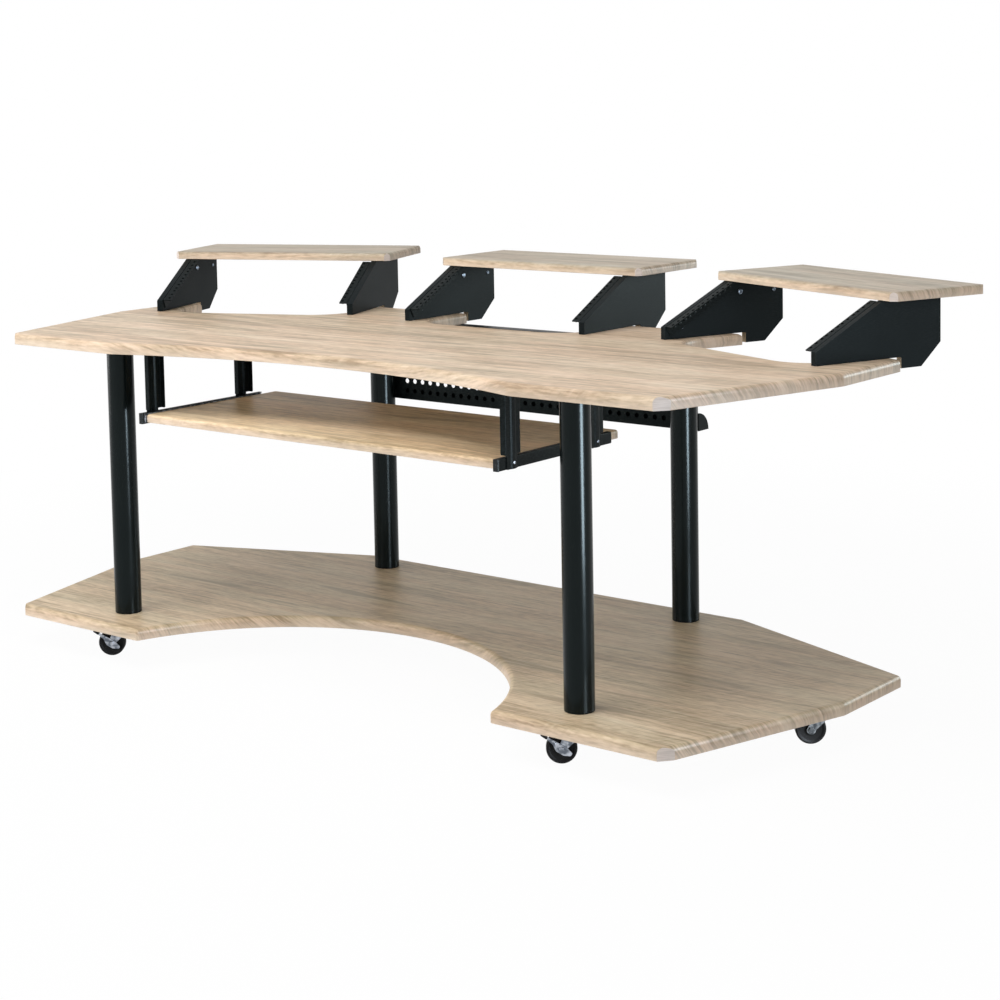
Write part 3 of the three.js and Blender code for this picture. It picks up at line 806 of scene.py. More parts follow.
def rounded(corners: Sequence[Corner | Point]) -> list[Point]:
    """A closed outline with its corners rounded.

    Args:
        corners: Each corner as x and y, and its radius where it has one.

    Returns:
        The outline's points.
    """
    points = []
    for i, corner in enumerate(corners):
        here = Vector(corner[:2])
        radius = corner[2] if len(corner) > 2 else 0
        back = Vector(corners[i - 1][:2]) - here
        ahead = Vector(corners[(i + 1) % len(corners)][:2]) - here
        reach = MAX_TANGENT_SHARE * min(back.length, ahead.length)
        back.normalize()
        ahead.normalize()
        half = math.acos(max(-1.0, min(1.0, back.dot(ahead)))) / 2
        tangent = min(radius / math.tan(half), reach)
        if tangent <= 0:
            points.append(tuple(here))
            continue
        used = tangent * math.tan(half)
        centre = here + (back + ahead).normalized() * (used / math.sin(half))
        start = here + back * tangent - centre
        end = here + ahead * tangent - centre
        sweep = start.cross(end) and math.copysign(math.pi - 2 * half, start.cross(end))
        steps = arc_steps(used, sweep)
        for s in range(steps + 1):
            spoke = Matrix.Rotation(sweep * s / steps, 2) @ start
            points.append(tuple(centre + spoke))
    return points


def front_arc(width: float, depth: float, end_radius: float) -> list[Corner]:
    """The corners of an arc that runs from the front edge into a board and back.

    Args:
        width: The arc's width along the front edge.
        depth: How far it reaches into the board.
        end_radius: The radius that blends its ends into the front edge.

    Returns:
        Corners for rounded().
    """
    half = width / 2
    radius = (half**2 + depth**2) / (2 * depth)
    sweep = math.asin(half / radius) if depth <= half else math.pi - math.asin(half / radius)
    steps = arc_steps(radius, 2 * sweep)
    corners = []
    for i in range(steps + 1):
        angle = sweep * (2 * i / steps - 1)
        on_edge = i in (0, steps)
        y = 0.0 if on_edge else depth - radius * (1 - math.cos(angle))
        corners.append((radius * math.sin(angle), y, end_radius if on_edge else 0.0))
    return corners


def inset_loop(outline: Sequence[Point], inset: float) -> list[Vector]:
    """An anticlockwise outline moved inwards. An edge too short for the move is dropped.

    Args:
        outline: The outline's points.
        inset: How far it moves.

    Returns:
        As many points as the outline has. Points whose edge was dropped meet in one place.
    """
    count = len(outline)
    ends = [Vector(p) for p in outline]
    along = [(ends[(i + 1) % count] - ends[i]).normalized() for i in range(count)]
    starts = [ends[i] + Vector((-along[i].y, along[i].x)) * inset for i in range(count)]

    def meeting(before: int, after: int) -> Vector:
        """Where two moved edges cross.

        Args:
            before: The number of the first edge.
            after: The number of the next one.

        Returns:
            The place.
        """
        turn = along[before].cross(along[after])
        if abs(turn) < WELD:
            return starts[after]
        apart = (starts[after] - starts[before]).cross(along[after])
        return starts[before] + along[before] * (apart / turn)

    live = list(range(count))
    while True:
        corners = [meeting(live[k - 1], live[k]) for k in range(len(live))]
        lengths = [
            (corners[(k + 1) % len(live)] - corners[k]).dot(along[live[k]]) for k in range(len(live))
        ]
        shortest = min(range(len(live)), key=lengths.__getitem__)
        if lengths[shortest] > 0:
            break
        del live[shortest]
    placed, k = [], 0
    for i in range(count):
        while k < len(live) and live[k] < i:
            k += 1
        placed.append(corners[k % len(live)])
    return placed


def lathe(profile: Sequence[Point], sides: int = 48, flats: int = 0) -> Shape:
    """A closed profile turned about Z.

    Args:
        profile: Radius and height pairs, from the axis to the axis or closed on itself.
        sides: How many sides the turned form has.
        flats: How many flats a hexagon or the like has, or 0 for a round form.

    Returns:
        The turned shape.
    """
    shape = Shape()
    closed = profile[0][0] > 0
    rings = []
    for radius, height in profile:
        if radius <= 0:
            rings.append([len(shape.points)] * sides)
            shape.points.append(Vector((0, 0, height)))
            continue
        rings.append([len(shape.points) + i for i in range(sides)])
        for i in range(sides):
            angle = 2 * math.pi * i / sides
            shape.points.append(Vector((radius * math.cos(angle), radius * math.sin(angle), height)))
            if flats:
                shape.points[-1].xy *= flat_share(angle, flats)
    pairs = list(zip(rings, rings[1:] + rings[:1])) if closed else list(zip(rings, rings[1:]))
    for low, high in pairs:
        for i in range(sides):
            j = (i + 1) % sides
            face = (low[i], low[j], high[j], high[i])
            kept = tuple(p for k, p in enumerate(face) if p != face[k - 1])
            if len(kept) > 2:
                shape.faces.append(kept)
    return shape


def flat_share(angle: float, flats: int) -> float:
    """How far a regular polygon reaches at an angle, as a share of its corner radius."""
    step = 2 * math.pi / flats
    return math.cos(step / 2) / math.cos(angle % step - step / 2)


def extruded(outline: Sequence[Point], low: float, high: float, axis: Axis = Axis.Z) -> Shape:
    """A flat outline drawn out along an axis.

    Args:
        outline: Points in the two other axes, in X, Y, Z order.
        low: Where it starts on the axis.
        high: Where it ends.
        axis: The axis.

    Returns:
        The closed shape.
    """
    places = {
        Axis.X: lambda a, b, h: Vector((h, a, b)),
        Axis.Y: lambda a, b, h: Vector((a, h, b)),
        Axis.Z: lambda a, b, h: Vector((a, b, h)),
    }
    count = len(outline)
    points = [places[axis](a, b, h) for h in (low, high) for a, b in outline]
    faces = [(i, (i + 1) % count, count + (i + 1) % count, count + i) for i in range(count)]
    faces += [tuple(reversed(range(count))), tuple(range(count, 2 * count))]
    return Shape(points, faces)


@dataclass(frozen=True)
class FoldedSheet:
    """A sheet cut flat with its holes and then folded along a path.

    The path is the outer side of the sheet, which is thickened to the path's left. Across the
    path the sheet runs along a straight axis.
    """

    path: Sequence[Point]
    thickness: float
    bend: float

    def _walk(self) -> tuple[list[tuple[float, Vector, Vector]], list[tuple[float, float]]]:
        """Walks along the path, round its bends.

        Returns:
            The places on the way, as how far along, where, and which way is left, and for each
            corner how far along its bend ends and how far from the corner that is.
        """
        ends = [Vector(p) for p in self.path]
        ways = [(b - a).normalized() for a, b in zip(ends, ends[1:])]
        left = [Vector((-w.y, w.x)) for w in ways]
        found, marks = [(0.0, ends[0], left[0])], [(0.0, 0.0)]
        for i in range(1, len(ends) - 1):
            turn = math.atan2(ways[i - 1].cross(ways[i]), ways[i - 1].dot(ways[i]))
            tangent = self.bend * math.tan(abs(turn) / 2)
            start = ends[i] - ways[i - 1] * tangent
            side = math.copysign(1, turn)
            centre = start + left[i - 1] * (side * self.bend)
            steps = arc_steps(self.bend, turn)
            walked = found[-1][0] + (start - found[-1][1]).length
            for s in range(steps + 1):
                normal = Matrix.Rotation(turn * s / steps, 2) @ left[i - 1]
                place = centre - normal * (side * self.bend)
                found.append((walked + self.bend * abs(turn) * s / steps, place, normal))
            marks.append((found[-1][0], tangent))
        found.append((found[-1][0] + (ends[-1] - found[-1][1]).length, ends[-1], left[-1]))
        return found, marks

    def length(self) -> float:
        """The flat sheet's length along the path."""
        return self._walk()[0][-1][0]

    def along(self, corner: int, past: float) -> float:
        """How far along the flat sheet a place is.

        Args:
            corner: The number of the path's corner that the place is measured from.
            past: How far past that corner it is, on the flat run.

        Returns:
            The distance along the flat sheet.
        """
        walked, tangent = self._walk()[1][corner]
        return walked + past - tangent

    def build(self, outline: Sequence[Point], holes: Iterable[Sequence[Point]],
              place: Callable[[float, float, float], Vector]) -> Shape:
        """Cuts the flat sheet and folds it.

        Args:
            outline: The flat outline, as distance along the path and place on the axis.
            holes: Closed outlines that are cut out, in the same way.
            place: Takes a point of the path's two parts and its place on the axis to a 3-D point.

        Returns:
            The closed shape.
        """
        runs = self._walk()[0]
        flat, triangles = cut_flat(outline, list(holes), [u for u, _, _ in runs[1:-1]])
        shape = Shape()
        for offset in (0.0, self.thickness):
            for u, v in flat:
                spot, normal = self._fold(runs, u)
                spot = spot + normal * offset
                shape.points.append(place(spot.x, spot.y, v))
        count = len(flat)
        borders = {}
        for a, b, c in triangles:
            shape.faces += [(c, b, a), (a + count, b + count, c + count)]
            for edge in ((a, b), (b, c), (c, a)):
                borders[edge] = True
        for a, b in borders:
            if (b, a) not in borders:
                shape.faces.append((a, b, b + count, a + count))
        return shape

    @staticmethod
    def _fold(runs: Sequence[tuple[float, Vector, Vector]], u: float) -> tuple[Vector, Vector]:
        """Where a distance along the flat sheet ends up, and which way is left there.

        Args:
            runs: The places on the way, from _walk().
            u: The distance.

        Returns:
            The place and the way.
        """
        for (u0, p0, n0), (u1, p1, n1) in zip(runs, runs[1:]):
            if u <= u1 or u1 == runs[-1][0]:
                share = (u - u0) / max(u1 - u0, WELD)
                return p0.lerp(p1, share), n0.lerp(n1, min(max(share, 0), 1)).normalized()
        raise ValueError("the sheet has no such place")


def inside(outline: Sequence[Point], x: float, y: float) -> bool:
    """Whether a point lies in a closed outline.

    Args:
        outline: The outline's points.
        x: The point's first part.
        y: The point's second part.

    Returns:
        Whether it does.
    """
    found = False
    for i, (x1, y1) in enumerate(outline):
        x0, y0 = outline[i - 1]
        if (y1 > y) != (y0 > y) and x < (x0 - x1) * (y - y1) / (y0 - y1) + x1:
            found = not found
    return found


def cut_flat(outline: Sequence[Point], holes: Sequence[Sequence[Point]],
             folds: Sequence[float]) -> tuple[list[Point], list[tuple[int, int, int]]]:
    """Fills a flat outline with triangles, round its holes and with edges along its folds.

    Args:
        outline: The outline's points.
        holes: Closed outlines that stay open.
        folds: Places on the first axis where edges run across.

    Returns:
        The points and the triangles, all facing one way.
    """
    low = min(y for _, y in outline) - 1
    high = max(y for _, y in outline) + 1
    points, edges = [], []
    for loop in [outline, *holes]:
        first, count = len(points), len(loop)
        points += [Vector(p) for p in loop]
        edges += [(first + i, first + (i + 1) % count) for i in range(count)]
    for x in folds:
        edges.append((len(points), len(points) + 1))
        points += [Vector((x, low)), Vector((x, high))]
    found, _, faces, *_ = delaunay_2d_cdt(points, edges, [], 0, WELD)
    boxes = [(min(x for x, _ in h), max(x for x, _ in h), min(y for _, y in h), max(y for _, y in h))
             for h in holes]
    kept = []
    for face in faces:
        x = sum(found[i].x for i in face) / 3
        y = sum(found[i].y for i in face) / 3
        if not inside(outline, x, y):
            continue
        near = (h for h, (x0, x1, y0, y1) in zip(holes, boxes) if x0 < x < x1 and y0 < y < y1)
        if any(inside(h, x, y) for h in near):
            continue
        a, b, c = face
        turn = (found[b] - found[a]).cross(found[c] - found[a])
        kept.append((a, b, c) if turn > 0 else (a, c, b))
    used = sorted({i for face in kept for i in face})
    number = {old: new for new, old in enumerate(used)}
    return [tuple(found[i]) for i in used], [tuple(number[i] for i in face) for face in kept]


def circle(x: float, y: float, radius: float, sides: int = 20) -> list[Point]:
    """A round hole's outline."""
    angles = [2 * math.pi * i / sides for i in range(sides)]
    return [(x + radius * math.cos(a), y + radius * math.sin(a)) for a in angles]


def rectangle(x0: float, y0: float, x1: float, y1: float) -> list[Point]:
    """A rectangle's outline."""
    return [(x0, y0), (x1, y0), (x1, y1), (x0, y1)]


def button_head(radius: float, height: float, socket: float) -> Shape:
    """A domed screw head with a hexagon socket, standing on Z 0.

    Args:
        radius: The head's radius.
        height: Its height.
        socket: The radius of its socket's corners.

    Returns:
        The head.
    """
    rise = [math.pi / 2 * s / DOME_STEPS for s in range(DOME_STEPS + 1)]
    rim = radius - height
    dome = [(rim + height * math.cos(a), height * math.sin(a)) for a in rise]
    shape = lathe([(0, 0), (radius, 0), *dome, (socket, height)])
    cup = lathe([(socket, height), (socket, height * CUP_SIDE), (0, height * CUP_FLOOR)], flats=HEXAGON)
    return shape.add(cup)


def hex_nut(across: float, height: float) -> Shape:
    """A hexagon nut with chamfered corners, standing on Z 0.

    Args:
        across: The width across its flats.
        height: Its height.

    Returns:
        The nut.
    """
    corner = across / math.sqrt(3)
    chamfer = NUT_CHAMFER * across
    return lathe([
        (0, 0), (corner, 0), (corner, height - chamfer * NUT_CHAMFER_RISE),
        (corner - chamfer * NUT_CHAMFER_RUN, height), (0, height),
    ], flats=HEXAGON)


@dataclass(frozen=True)
class Cut:
    """A plane that cuts a corner flat. What lies along its normal goes."""

    place: Vector
    normal: Vector


def add_piece(shape: Shape, name: str, finishes: Sequence[Finish], body: str,
              stands_for: Sequence[str] = (), bevel: float = 0,
              cuts: Sequence[Cut] = ()) -> bpy.types.Object:
    """Makes one visible piece.

    Args:
        shape: The piece's shape, in millimetres, in the world's frame.
        name: The piece's name.
        finishes: Its finishes, in the order of its faces' numbers.
        body: The frame's body that it rides on.
        stands_for: The frame's nodes that it replaces.
        bevel: The width of its sharp edges' rounding, or 0.
        cuts: Planes that cut its corners flat. The last finish covers what they bare.

    Returns:
        The piece's object.
    """
    mesh = bpy.data.meshes.new(name)
    mesh.from_pydata([p * MM for p in shape.points], [], shape.faces)
    if shape.foil:
        foil = mesh.attributes.new("foil", "FLOAT_VECTOR", "POINT")
        foil.data.foreach_set("vector", [c * MM for p in shape.foil for c in p])
        rim = mesh.attributes.new("rim", "FLOAT", "POINT")
        rim.data.foreach_set("value", shape.rim)
    if any(shape.finish_of_face):
        mesh.polygons.foreach_set("material_index", shape.finish_of_face)
    mended = bmesh.new()
    mended.from_mesh(mesh)
    bmesh.ops.remove_doubles(mended, verts=mended.verts, dist=WELD)
    for cut in cuts:
        every = [*mended.verts, *mended.edges, *mended.faces]
        split = bmesh.ops.bisect_plane(
            mended, geom=every, plane_co=cut.place * MM, plane_no=cut.normal, clear_outer=True)
        open_edges = [e for e in split["geom_cut"] if isinstance(e, bmesh.types.BMEdge)]
        for face in bmesh.ops.edgeloop_fill(mended, edges=open_edges)["faces"]:
            face.material_index = len(finishes) - 1
    bmesh.ops.recalc_face_normals(mended, faces=mended.faces)
    if bevel:
        inner = [e for e in mended.edges if len(e.link_faces) == 2]
        sharp = [e for e in inner if e.calc_face_angle(0) > SHARP_ANGLE]
        bmesh.ops.bevel(mended, geom=sharp, offset=bevel * MM, segments=BEVEL_STEPS, profile=0.5,
                        affect="EDGES", clamp_overlap=True)
    mended.to_mesh(mesh)
    mended.free()
    mesh.polygons.foreach_set("use_smooth", [True] * len(mesh.polygons))
    mesh.set_sharp_from_angle(angle=SHARP_ANGLE)
    piece = bpy.data.objects.new(name, mesh)
    bpy.context.scene.collection.objects.link(piece)
    for finish in finishes:
        mesh.materials.append(finish.material())
    weighted = piece.modifiers.new("weighted_normals", "WEIGHTED_NORMAL")
    weighted.keep_sharp = True
    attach(piece, body)
    if stands_for:
        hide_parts(*stands_for)
    log.info("%s rides on %s with %d faces", name, body, len(mesh.polygons))
    return piece


# Sub-assemblies


@dataclass(frozen=True)
class Levels:
    """Heights and the front edge, read from the frame."""

    front: float
    lower_foot: float
    lower_top: float
    top_foot: float
    top_top: float
    shelf_foot: float
    shelf_top: float
    tray_foot: float
    tray_top: float

    @staticmethod
    def read() -> "Levels":
        """Reads the levels from the frame's boards.

        Returns:
            The levels.
        """
        lower, top, shelf, tray = (
            [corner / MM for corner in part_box(node)]
            for node in ("lower_board", "worktop", "riser_shelf_centre", "keyboard_tray")
        )
        return Levels(
            front=lower[0].y, lower_foot=lower[0].z, lower_top=lower[1].z,
            top_foot=top[0].z, top_top=top[1].z, shelf_foot=shelf[0].z, shelf_top=shelf[1].z,
            tray_foot=tray[0].z, tray_top=tray[1].z,
        )

    def frame(self) -> Matrix:
        """A move that takes the front edge to Y 0."""
        return at(y=self.front)


@dataclass(frozen=True)
class Boards:
    """The worktop, the lower board and the outline that they share."""

    levels: Levels
    depth: float = 843
    flare_depth: float = 431
    flare_run: float = 141
    tip_run: float = 22
    tip_rise: float = 26
    rear_width: float = 1091
    bay_angle: float = math.radians(21)
    bay_clear: float = 494
    tongue_reveal: float = 14
    bite_depth: float = 199
    bite_radius: float = 95
    tongue_inner: float = 2
    tongue_outer: float = 50
    corner_radius: float = 5
    edge_radius: float = 10.5
    knee_width: float = 1004
    knee_depth: float = 378
    knee_radius: float = 12
    sweep_width: float = 1118
    sweep_depth: float = 97
    sweep_radius: float = 140
    lower_seed: float = 3.1
    top_seed: float = 7.4

    @property
    def bite_width(self) -> float:
        """The width of each bite in the rear edge."""
        return self.bay_clear - 2 * self.tongue_reveal

    @property
    def side_length(self) -> float:
        """The length of each slanted rear edge."""
        return self.tongue_inner + self.bite_width + self.tongue_outer

    @property
    def half_width(self) -> float:
        """Half of the boards' whole width."""
        return self.rear_width / 2 + self.side_length * math.cos(self.bay_angle)

    @property
    def front_half(self) -> float:
        """Half of the front edge's width."""
        return self.half_width - self.flare_run

    def bay_frame(self, side: int) -> Matrix:
        """Where a bay meets the rear edge.

        Args:
            side: -1 for the left bay, 0 for the centre one and 1 for the right one.

        Returns:
            The bay's frame on the worktop, with Y pointing away from the user.
        """
        along = abs(side) * (self.tongue_inner + self.bite_width / 2)
        x = side * (self.rear_width / 2 + along * math.cos(self.bay_angle))
        y = self.depth - along * math.sin(self.bay_angle)
        return self.levels.frame() @ at(x, y, self.levels.top_top, -side * self.bay_angle)

    def outline(self, recess: Sequence[Corner], bites: bool) -> list[Point]:
        """A board's outline, with its tips still sharp.

        Args:
            recess: The front edge's sweep or recess.
            bites: Whether the bays' bites are cut in the rear edge.

        Returns:
            The outline's points, anticlockwise, with the front edge at Y 0.
        """
        clip_end = self.front_half + self.tip_run
        tip = clip_end - self.tip_rise * (self.half_width - clip_end) / (self.flare_depth - self.tip_rise)
        side_rear = self.depth - self.side_length * math.sin(self.bay_angle)
        half, rear = self.half_width, self.rear_width / 2
        back = at(y=-self.levels.front)

        def bite(side: int) -> list[Corner]:
            """The corners of one bay's bite.

            Args:
                side: The bay's side.

            Returns:
                The corners, or none for a board without bites.
            """
            if not bites:
                return []
            reach = self.bite_width / 2
            local = [(reach, 0, self.corner_radius), (reach, -self.bite_depth, self.bite_radius),
                     (-reach, -self.bite_depth, self.bite_radius), (-reach, 0, self.corner_radius)]
            placed = [(back @ self.bay_frame(side) @ Vector((x, y, 0)), r) for x, y, r in local]
            return [(p.x, p.y, r) for p, r in placed]

        return rounded([
            (-tip, 0), *recess, (tip, 0),
            (half, self.flare_depth, self.corner_radius), (half, side_rear, self.corner_radius),
            *bite(1), (rear, self.depth), *bite(0), (-rear, self.depth), *bite(-1),
            (-half, side_rear, self.corner_radius), (-half, self.flare_depth, self.corner_radius),
        ])

    def tip_cuts(self) -> list[Cut]:
        """The planes that cut the two front tips flat.

        Returns:
            A plane for each tip.
        """
        place = self.levels.frame() @ Vector((self.front_half, 0, 0))
        cuts = []
        for side in SIDES:
            normal = Vector((side * self.tip_rise, -self.tip_run, 0)).normalized()
            cuts.append(Cut(Vector((side * place.x, place.y, 0)), normal))
        return cuts

    def build(self) -> None:
        """Builds both boards."""
        knee = front_arc(self.knee_width, self.knee_depth, self.knee_radius)
        sweep = front_arc(self.sweep_width, self.sweep_depth, self.sweep_radius)
        levels = self.levels
        for name, foil, outline, foot, top, seed in (
            ("lower_board", LOWER_OAK_PAINTED_SHADE, self.outline(knee, False), levels.lower_foot, levels.lower_top,
             self.lower_seed),
            ("worktop", OAK, self.outline(sweep, True), levels.top_foot, levels.top_top, self.top_seed),
        ):
            shape = foil_board(outline, top - foot, self.edge_radius, seed)
            placed = shape.moved(levels.frame() @ at(z=foot))
            add_piece(placed, f"{name}_foiled", [foil, BACKING, TIP_BAND], "desk", [name],
                      cuts=self.tip_cuts())


def foil_board(outline: Sequence[Point], thickness: float, radius: float, seed: float) -> Shape:
    """A foiled board with a rounded upper edge. The foil wraps over the edge as it does in a press.

    Args:
        outline: The board's outline, anticlockwise.
        thickness: The board's thickness.
        radius: The radius of its upper edge.
        seed: Where in the printed grain the board was cut.

    Returns:
        The board, standing on Z 0, with its underside in the second finish.
    """
    section = [(FOIL_CHAMFER, 0.0), (0.0, FOIL_CHAMFER)]
    for s in range(FOIL_STEPS + 1):
        angle = math.pi / 2 * s / FOIL_STEPS
        section.append((radius * (1 - math.cos(angle)), thickness - radius * (1 - math.sin(angle))))
    wraps = [0.0]
    for (a0, b0), (a1, b1) in zip(section[::-1], section[-2::-1]):
        wraps.append(wraps[-1] + math.hypot(a1 - a0, b1 - b0))
    wraps.reverse()
    top = inset_loop(outline, radius)
    outward = [(Vector(p) - q) for p, q in zip(outline, top)]
    outward = [w.normalized() if w.length > WELD else Vector((0, 0)) for w in outward]
    seed_place = seed / MM
    shape = Shape()
    count = len(outline)
    for (inset, level), wrap in zip(section, wraps):
        loop = [Vector(p) for p in outline] if inset == 0 else inset_loop(outline, inset)
        for place, start, way in zip(loop, top, outward):
            shape.points.append(Vector((*place, level)))
            shape.foil.append(Vector((*(start + way * wrap), seed_place)))
            shape.rim.append(wrap / wraps[0])
    for r in range(len(section) - 1):
        for i in range(count):
            j = (i + 1) % count
            low, high = r * count, (r + 1) * count
            shape.faces.append((low + i, low + j, high + j, high + i))
    shape.finish_of_face = [0] * len(shape.faces)
    last = (len(section) - 1) * count
    shape.faces += [tuple(range(last, last + count)), tuple(reversed(range(count)))]
    shape.finish_of_face += [0, 1]
    return shape


@dataclass(frozen=True)
class Legs:
    """Four steel tubes between the boards, each with a plate under the worktop."""

    levels: Levels
    radius: float = 30
    edge: float = 1.2
    bore: float = 5
    plate_radius: float = 48
    plate_edge: float = 1.0
    screw: Screw = (4.2, 2.2, 1.6)
    screw_circle: float = 39
    screws: int = 4
    tube_sides: int = 96
    plate_sides: int = 72

    def build(self) -> None:
        """Builds each leg and its plate."""
        for name in LEGS:
            low, high = (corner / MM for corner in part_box(f"leg_{name}"))
            middle = (low + high) / 2
            foot, top = low.z, high.z
            profile = rounded([
                (self.bore, foot), (self.radius, foot, self.edge),
                (self.radius, top, self.edge), (self.bore, top),
            ])
            tube = lathe(profile, self.tube_sides).moved(at(middle.x, middle.y))
            add_piece(tube, f"leg_tube_{name}", [LEG_COAT], "desk", [f"leg_{name}"])
            self._add_plate(name, middle)

    def _add_plate(self, name: str, middle: Vector) -> None:
        """Builds one mounting plate and its screws.

        Args:
            name: The leg's name.
            middle: The leg's middle.
        """
        foot, top = (corner.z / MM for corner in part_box(f"leg_plate_{name}"))
        plate = lathe(rounded([
            (0, foot), (self.plate_radius, foot, self.plate_edge), (self.plate_radius, top), (0, top),
        ]), self.plate_sides)
        add_piece(plate.moved(at(middle.x, middle.y)), f"leg_top_plate_{name}", [STEEL_COAT], "desk",
                  [f"leg_plate_{name}"])
        heads = Shape()
        for i in range(self.screws):
            angle = 2 * math.pi * (i + 0.5) / self.screws
            x, y = self.screw_circle * math.cos(angle), self.screw_circle * math.sin(angle)
            spot = at(middle.x + x, middle.y + y, foot)
            heads.add(button_head(*self.screw), spot @ facing(Axis.Z, -1))
        add_piece(heads, f"leg_plate_screws_{name}", [ZINC], "desk")


@dataclass(frozen=True)
class RackBay:
    """One equipment bay: a shelf on two bracket panels, each with an angle rail of rack holes."""

    boards: Boards
    name: str
    side: int
    seed: float
    panel_thickness: float = 15
    panel_bevel: float = 0.7
    seat_length: float = 196
    nose_height: float = 27
    top_setback: float = 27
    rear_reach: float = 123
    rear_height: float = 92
    hook_gap: float = 20
    hook_length: float = 52
    hook_drop: float = 22.5
    riser_height: float = 116
    shelf_overhang: float = 32
    shelf_depth: float = 246
    shelf_edge: float = 9
    shelf_clip: float = 12
    shelf_lip: float = 1
    hole_spacing: float = 465.1
    hole_radius: float = 3.4
    rack_unit: float = 44.45
    units: int = 4
    unit_shares: tuple[float, ...] = (1 / 7, 1 / 2, 6 / 7)
    flange: float = 21
    rail_leg: float = 25
    rail_sheet: float = 2
    rail_bend: float = 2.6
    rail_trim: float = 3
    leg_corner: float = 4
    flange_corner: float = 1.5
    thread_radius: float = 2.5
    collar_radius: float = 4.6
    collar_length: float = 4.5
    collar_sides: int = 24
    bolt_places: tuple[Corner, ...] = ((5, 91, 6.2), (98, 90, 4.4), (-151, 24, 3.6))
    bolt_height: float = 0.42

    @property
    def frame(self) -> Matrix:
        """The bay's place on the worktop."""
        return self.boards.bay_frame(self.side)

    def _label(self, hand: int) -> str:
        """The names of the bay and the hand, for pieces and nodes."""
        return f"{self.name}_{HANDS[hand]}"

    def build(self) -> None:
        """Builds the bay's shelf, panels, rails and bolts."""
        self._add_shelf()
        for hand in SIDES:
            self._add_panel(hand)
            self._add_rail(hand)
            self._add_collars(hand)
            self._add_bolts(hand)

    def _add_shelf(self) -> None:
        """Builds the raised shelf, with its four corners clipped."""
        half = self.boards.bay_clear / 2 + self.panel_thickness + self.shelf_overhang
        front = -self.top_setback - self.shelf_lip
        rear = front + self.shelf_depth
        levels = self.boards.levels
        outline = rectangle(-half, front, half, rear)
        thickness = levels.shelf_top - levels.shelf_foot
        shape = foil_board(outline, thickness, self.shelf_edge, self.seed)
        cuts = []
        for x, y in outline:
            way = Vector((math.copysign(1, x), 1 if y > front else -1, 0)).normalized()
            place = Vector((x - math.copysign(self.shelf_clip, x), y, 0))
            cuts.append(Cut(self.frame @ place, self.frame.to_3x3() @ way))
        placed = shape.moved(self.frame @ at(z=levels.shelf_foot - levels.top_top))
        add_piece(placed, f"shelf_foiled_{self.name}", [SHELF_OAK_PAINTED_SHADE, BACKING, TIP_BAND], "desk",
                  [f"riser_shelf_{self.name}"], cuts=cuts)

    def _add_panel(self, hand: int) -> None:
        """Builds one bracket panel. The front edge of its hook shows bare fibreboard.

        Args:
            hand: -1 for left, 1 for right.
        """
        top = self.riser_height - SEAT_GAP
        outline = [
            (-self.seat_length, SEAT_GAP), (self.hook_gap, SEAT_GAP), (self.hook_gap, -self.hook_drop),
            (self.hook_gap + self.hook_length, -self.hook_drop), (self.rear_reach, top - self.rear_height),
            (self.rear_reach, top), (-self.top_setback, top), (-self.seat_length, self.nose_height),
        ]
        near = hand * self.boards.bay_clear / 2
        far = near + hand * self.panel_thickness
        shape = extruded(outline, min(near, far), max(near, far), Axis.X)
        shape.finish_of_face = [1 if i == 1 else 0 for i in range(len(shape.faces))]
        label = self._label(hand)
        add_piece(shape.moved(self.frame), f"panel_{label}", [PANEL_PAINT, RAW_EDGE], "desk",
                  [f"bracket_{label}"], bevel=self.panel_bevel)

    def _slant(self) -> tuple[float, float]:
        """The length of a panel's slanted edge and its angle in radians."""
        run, rise = self.seat_length - self.top_setback, self.riser_height - SEAT_GAP - self.nose_height
        return math.hypot(run, rise), math.atan2(rise, run)

    def _rail_frame(self) -> Matrix:
        """The place of a rail on a panel's slanted edge."""
        foot = at(y=-self.seat_length, z=self.nose_height)
        return self.frame @ foot @ Matrix.Rotation(self._slant()[1], 4, "X")

    def _hole_places(self) -> list[float]:
        """How far along a rail its holes are.

        Returns:
            The distances from the rail's foot.
        """
        first = (self._slant()[0] - self.rack_unit * self.units) / 2
        steps = [unit + share for unit in range(self.units) for share in self.unit_shares]
        return [first + self.rack_unit * step for step in steps]

    def _add_rail(self, hand: int) -> None:
        """Builds one angle rail with its rack holes.

        Args:
            hand: -1 for left, 1 for right.
        """
        length, _ = self._slant()
        face = self.boards.bay_clear / 2 - SEAT_GAP
        edge = self.boards.bay_clear / 2 - self.flange
        path = [(face, -self.rail_leg), (face, 0.0), (edge, 0.0)]
        sheet = FoldedSheet(path, self.rail_sheet, self.rail_bend)
        across = sheet.along(1, face - self.hole_spacing / 2)
        holes = [circle(across, place, self.hole_radius) for place in self._hole_places()]
        width, low, high = sheet.length(), self.rail_trim, length - self.rail_trim
        flat = rounded([
            (0, low, self.leg_corner), (width, low, self.flange_corner),
            (width, high, self.flange_corner), (0, high, self.leg_corner),
        ])
        shape = sheet.build(flat, holes, lambda a, b, v: Vector((hand * a, v, b)))
        label = self._label(hand)
        add_piece(shape.moved(self._rail_frame()), f"rail_{label}", [STEEL_COAT], "desk",
                  [f"rack_rail_{label}"])

    def _add_collars(self, hand: int) -> None:
        """Builds the threaded collars behind a rail's holes.

        Args:
            hand: -1 for left, 1 for right.
        """
        top = -self.rail_sheet
        foot = top - self.collar_length
        collar = lathe([
            (self.collar_radius, foot), (self.collar_radius, top), (self.thread_radius, top),
            (self.thread_radius, foot),
        ], self.collar_sides)
        collars = Shape()
        for place in self._hole_places():
            collars.add(collar, at(hand * self.hole_spacing / 2, place))
        add_piece(collars.moved(self._rail_frame()), f"rail_collars_{self._label(hand)}", [STEEL_COAT],
                  "desk")

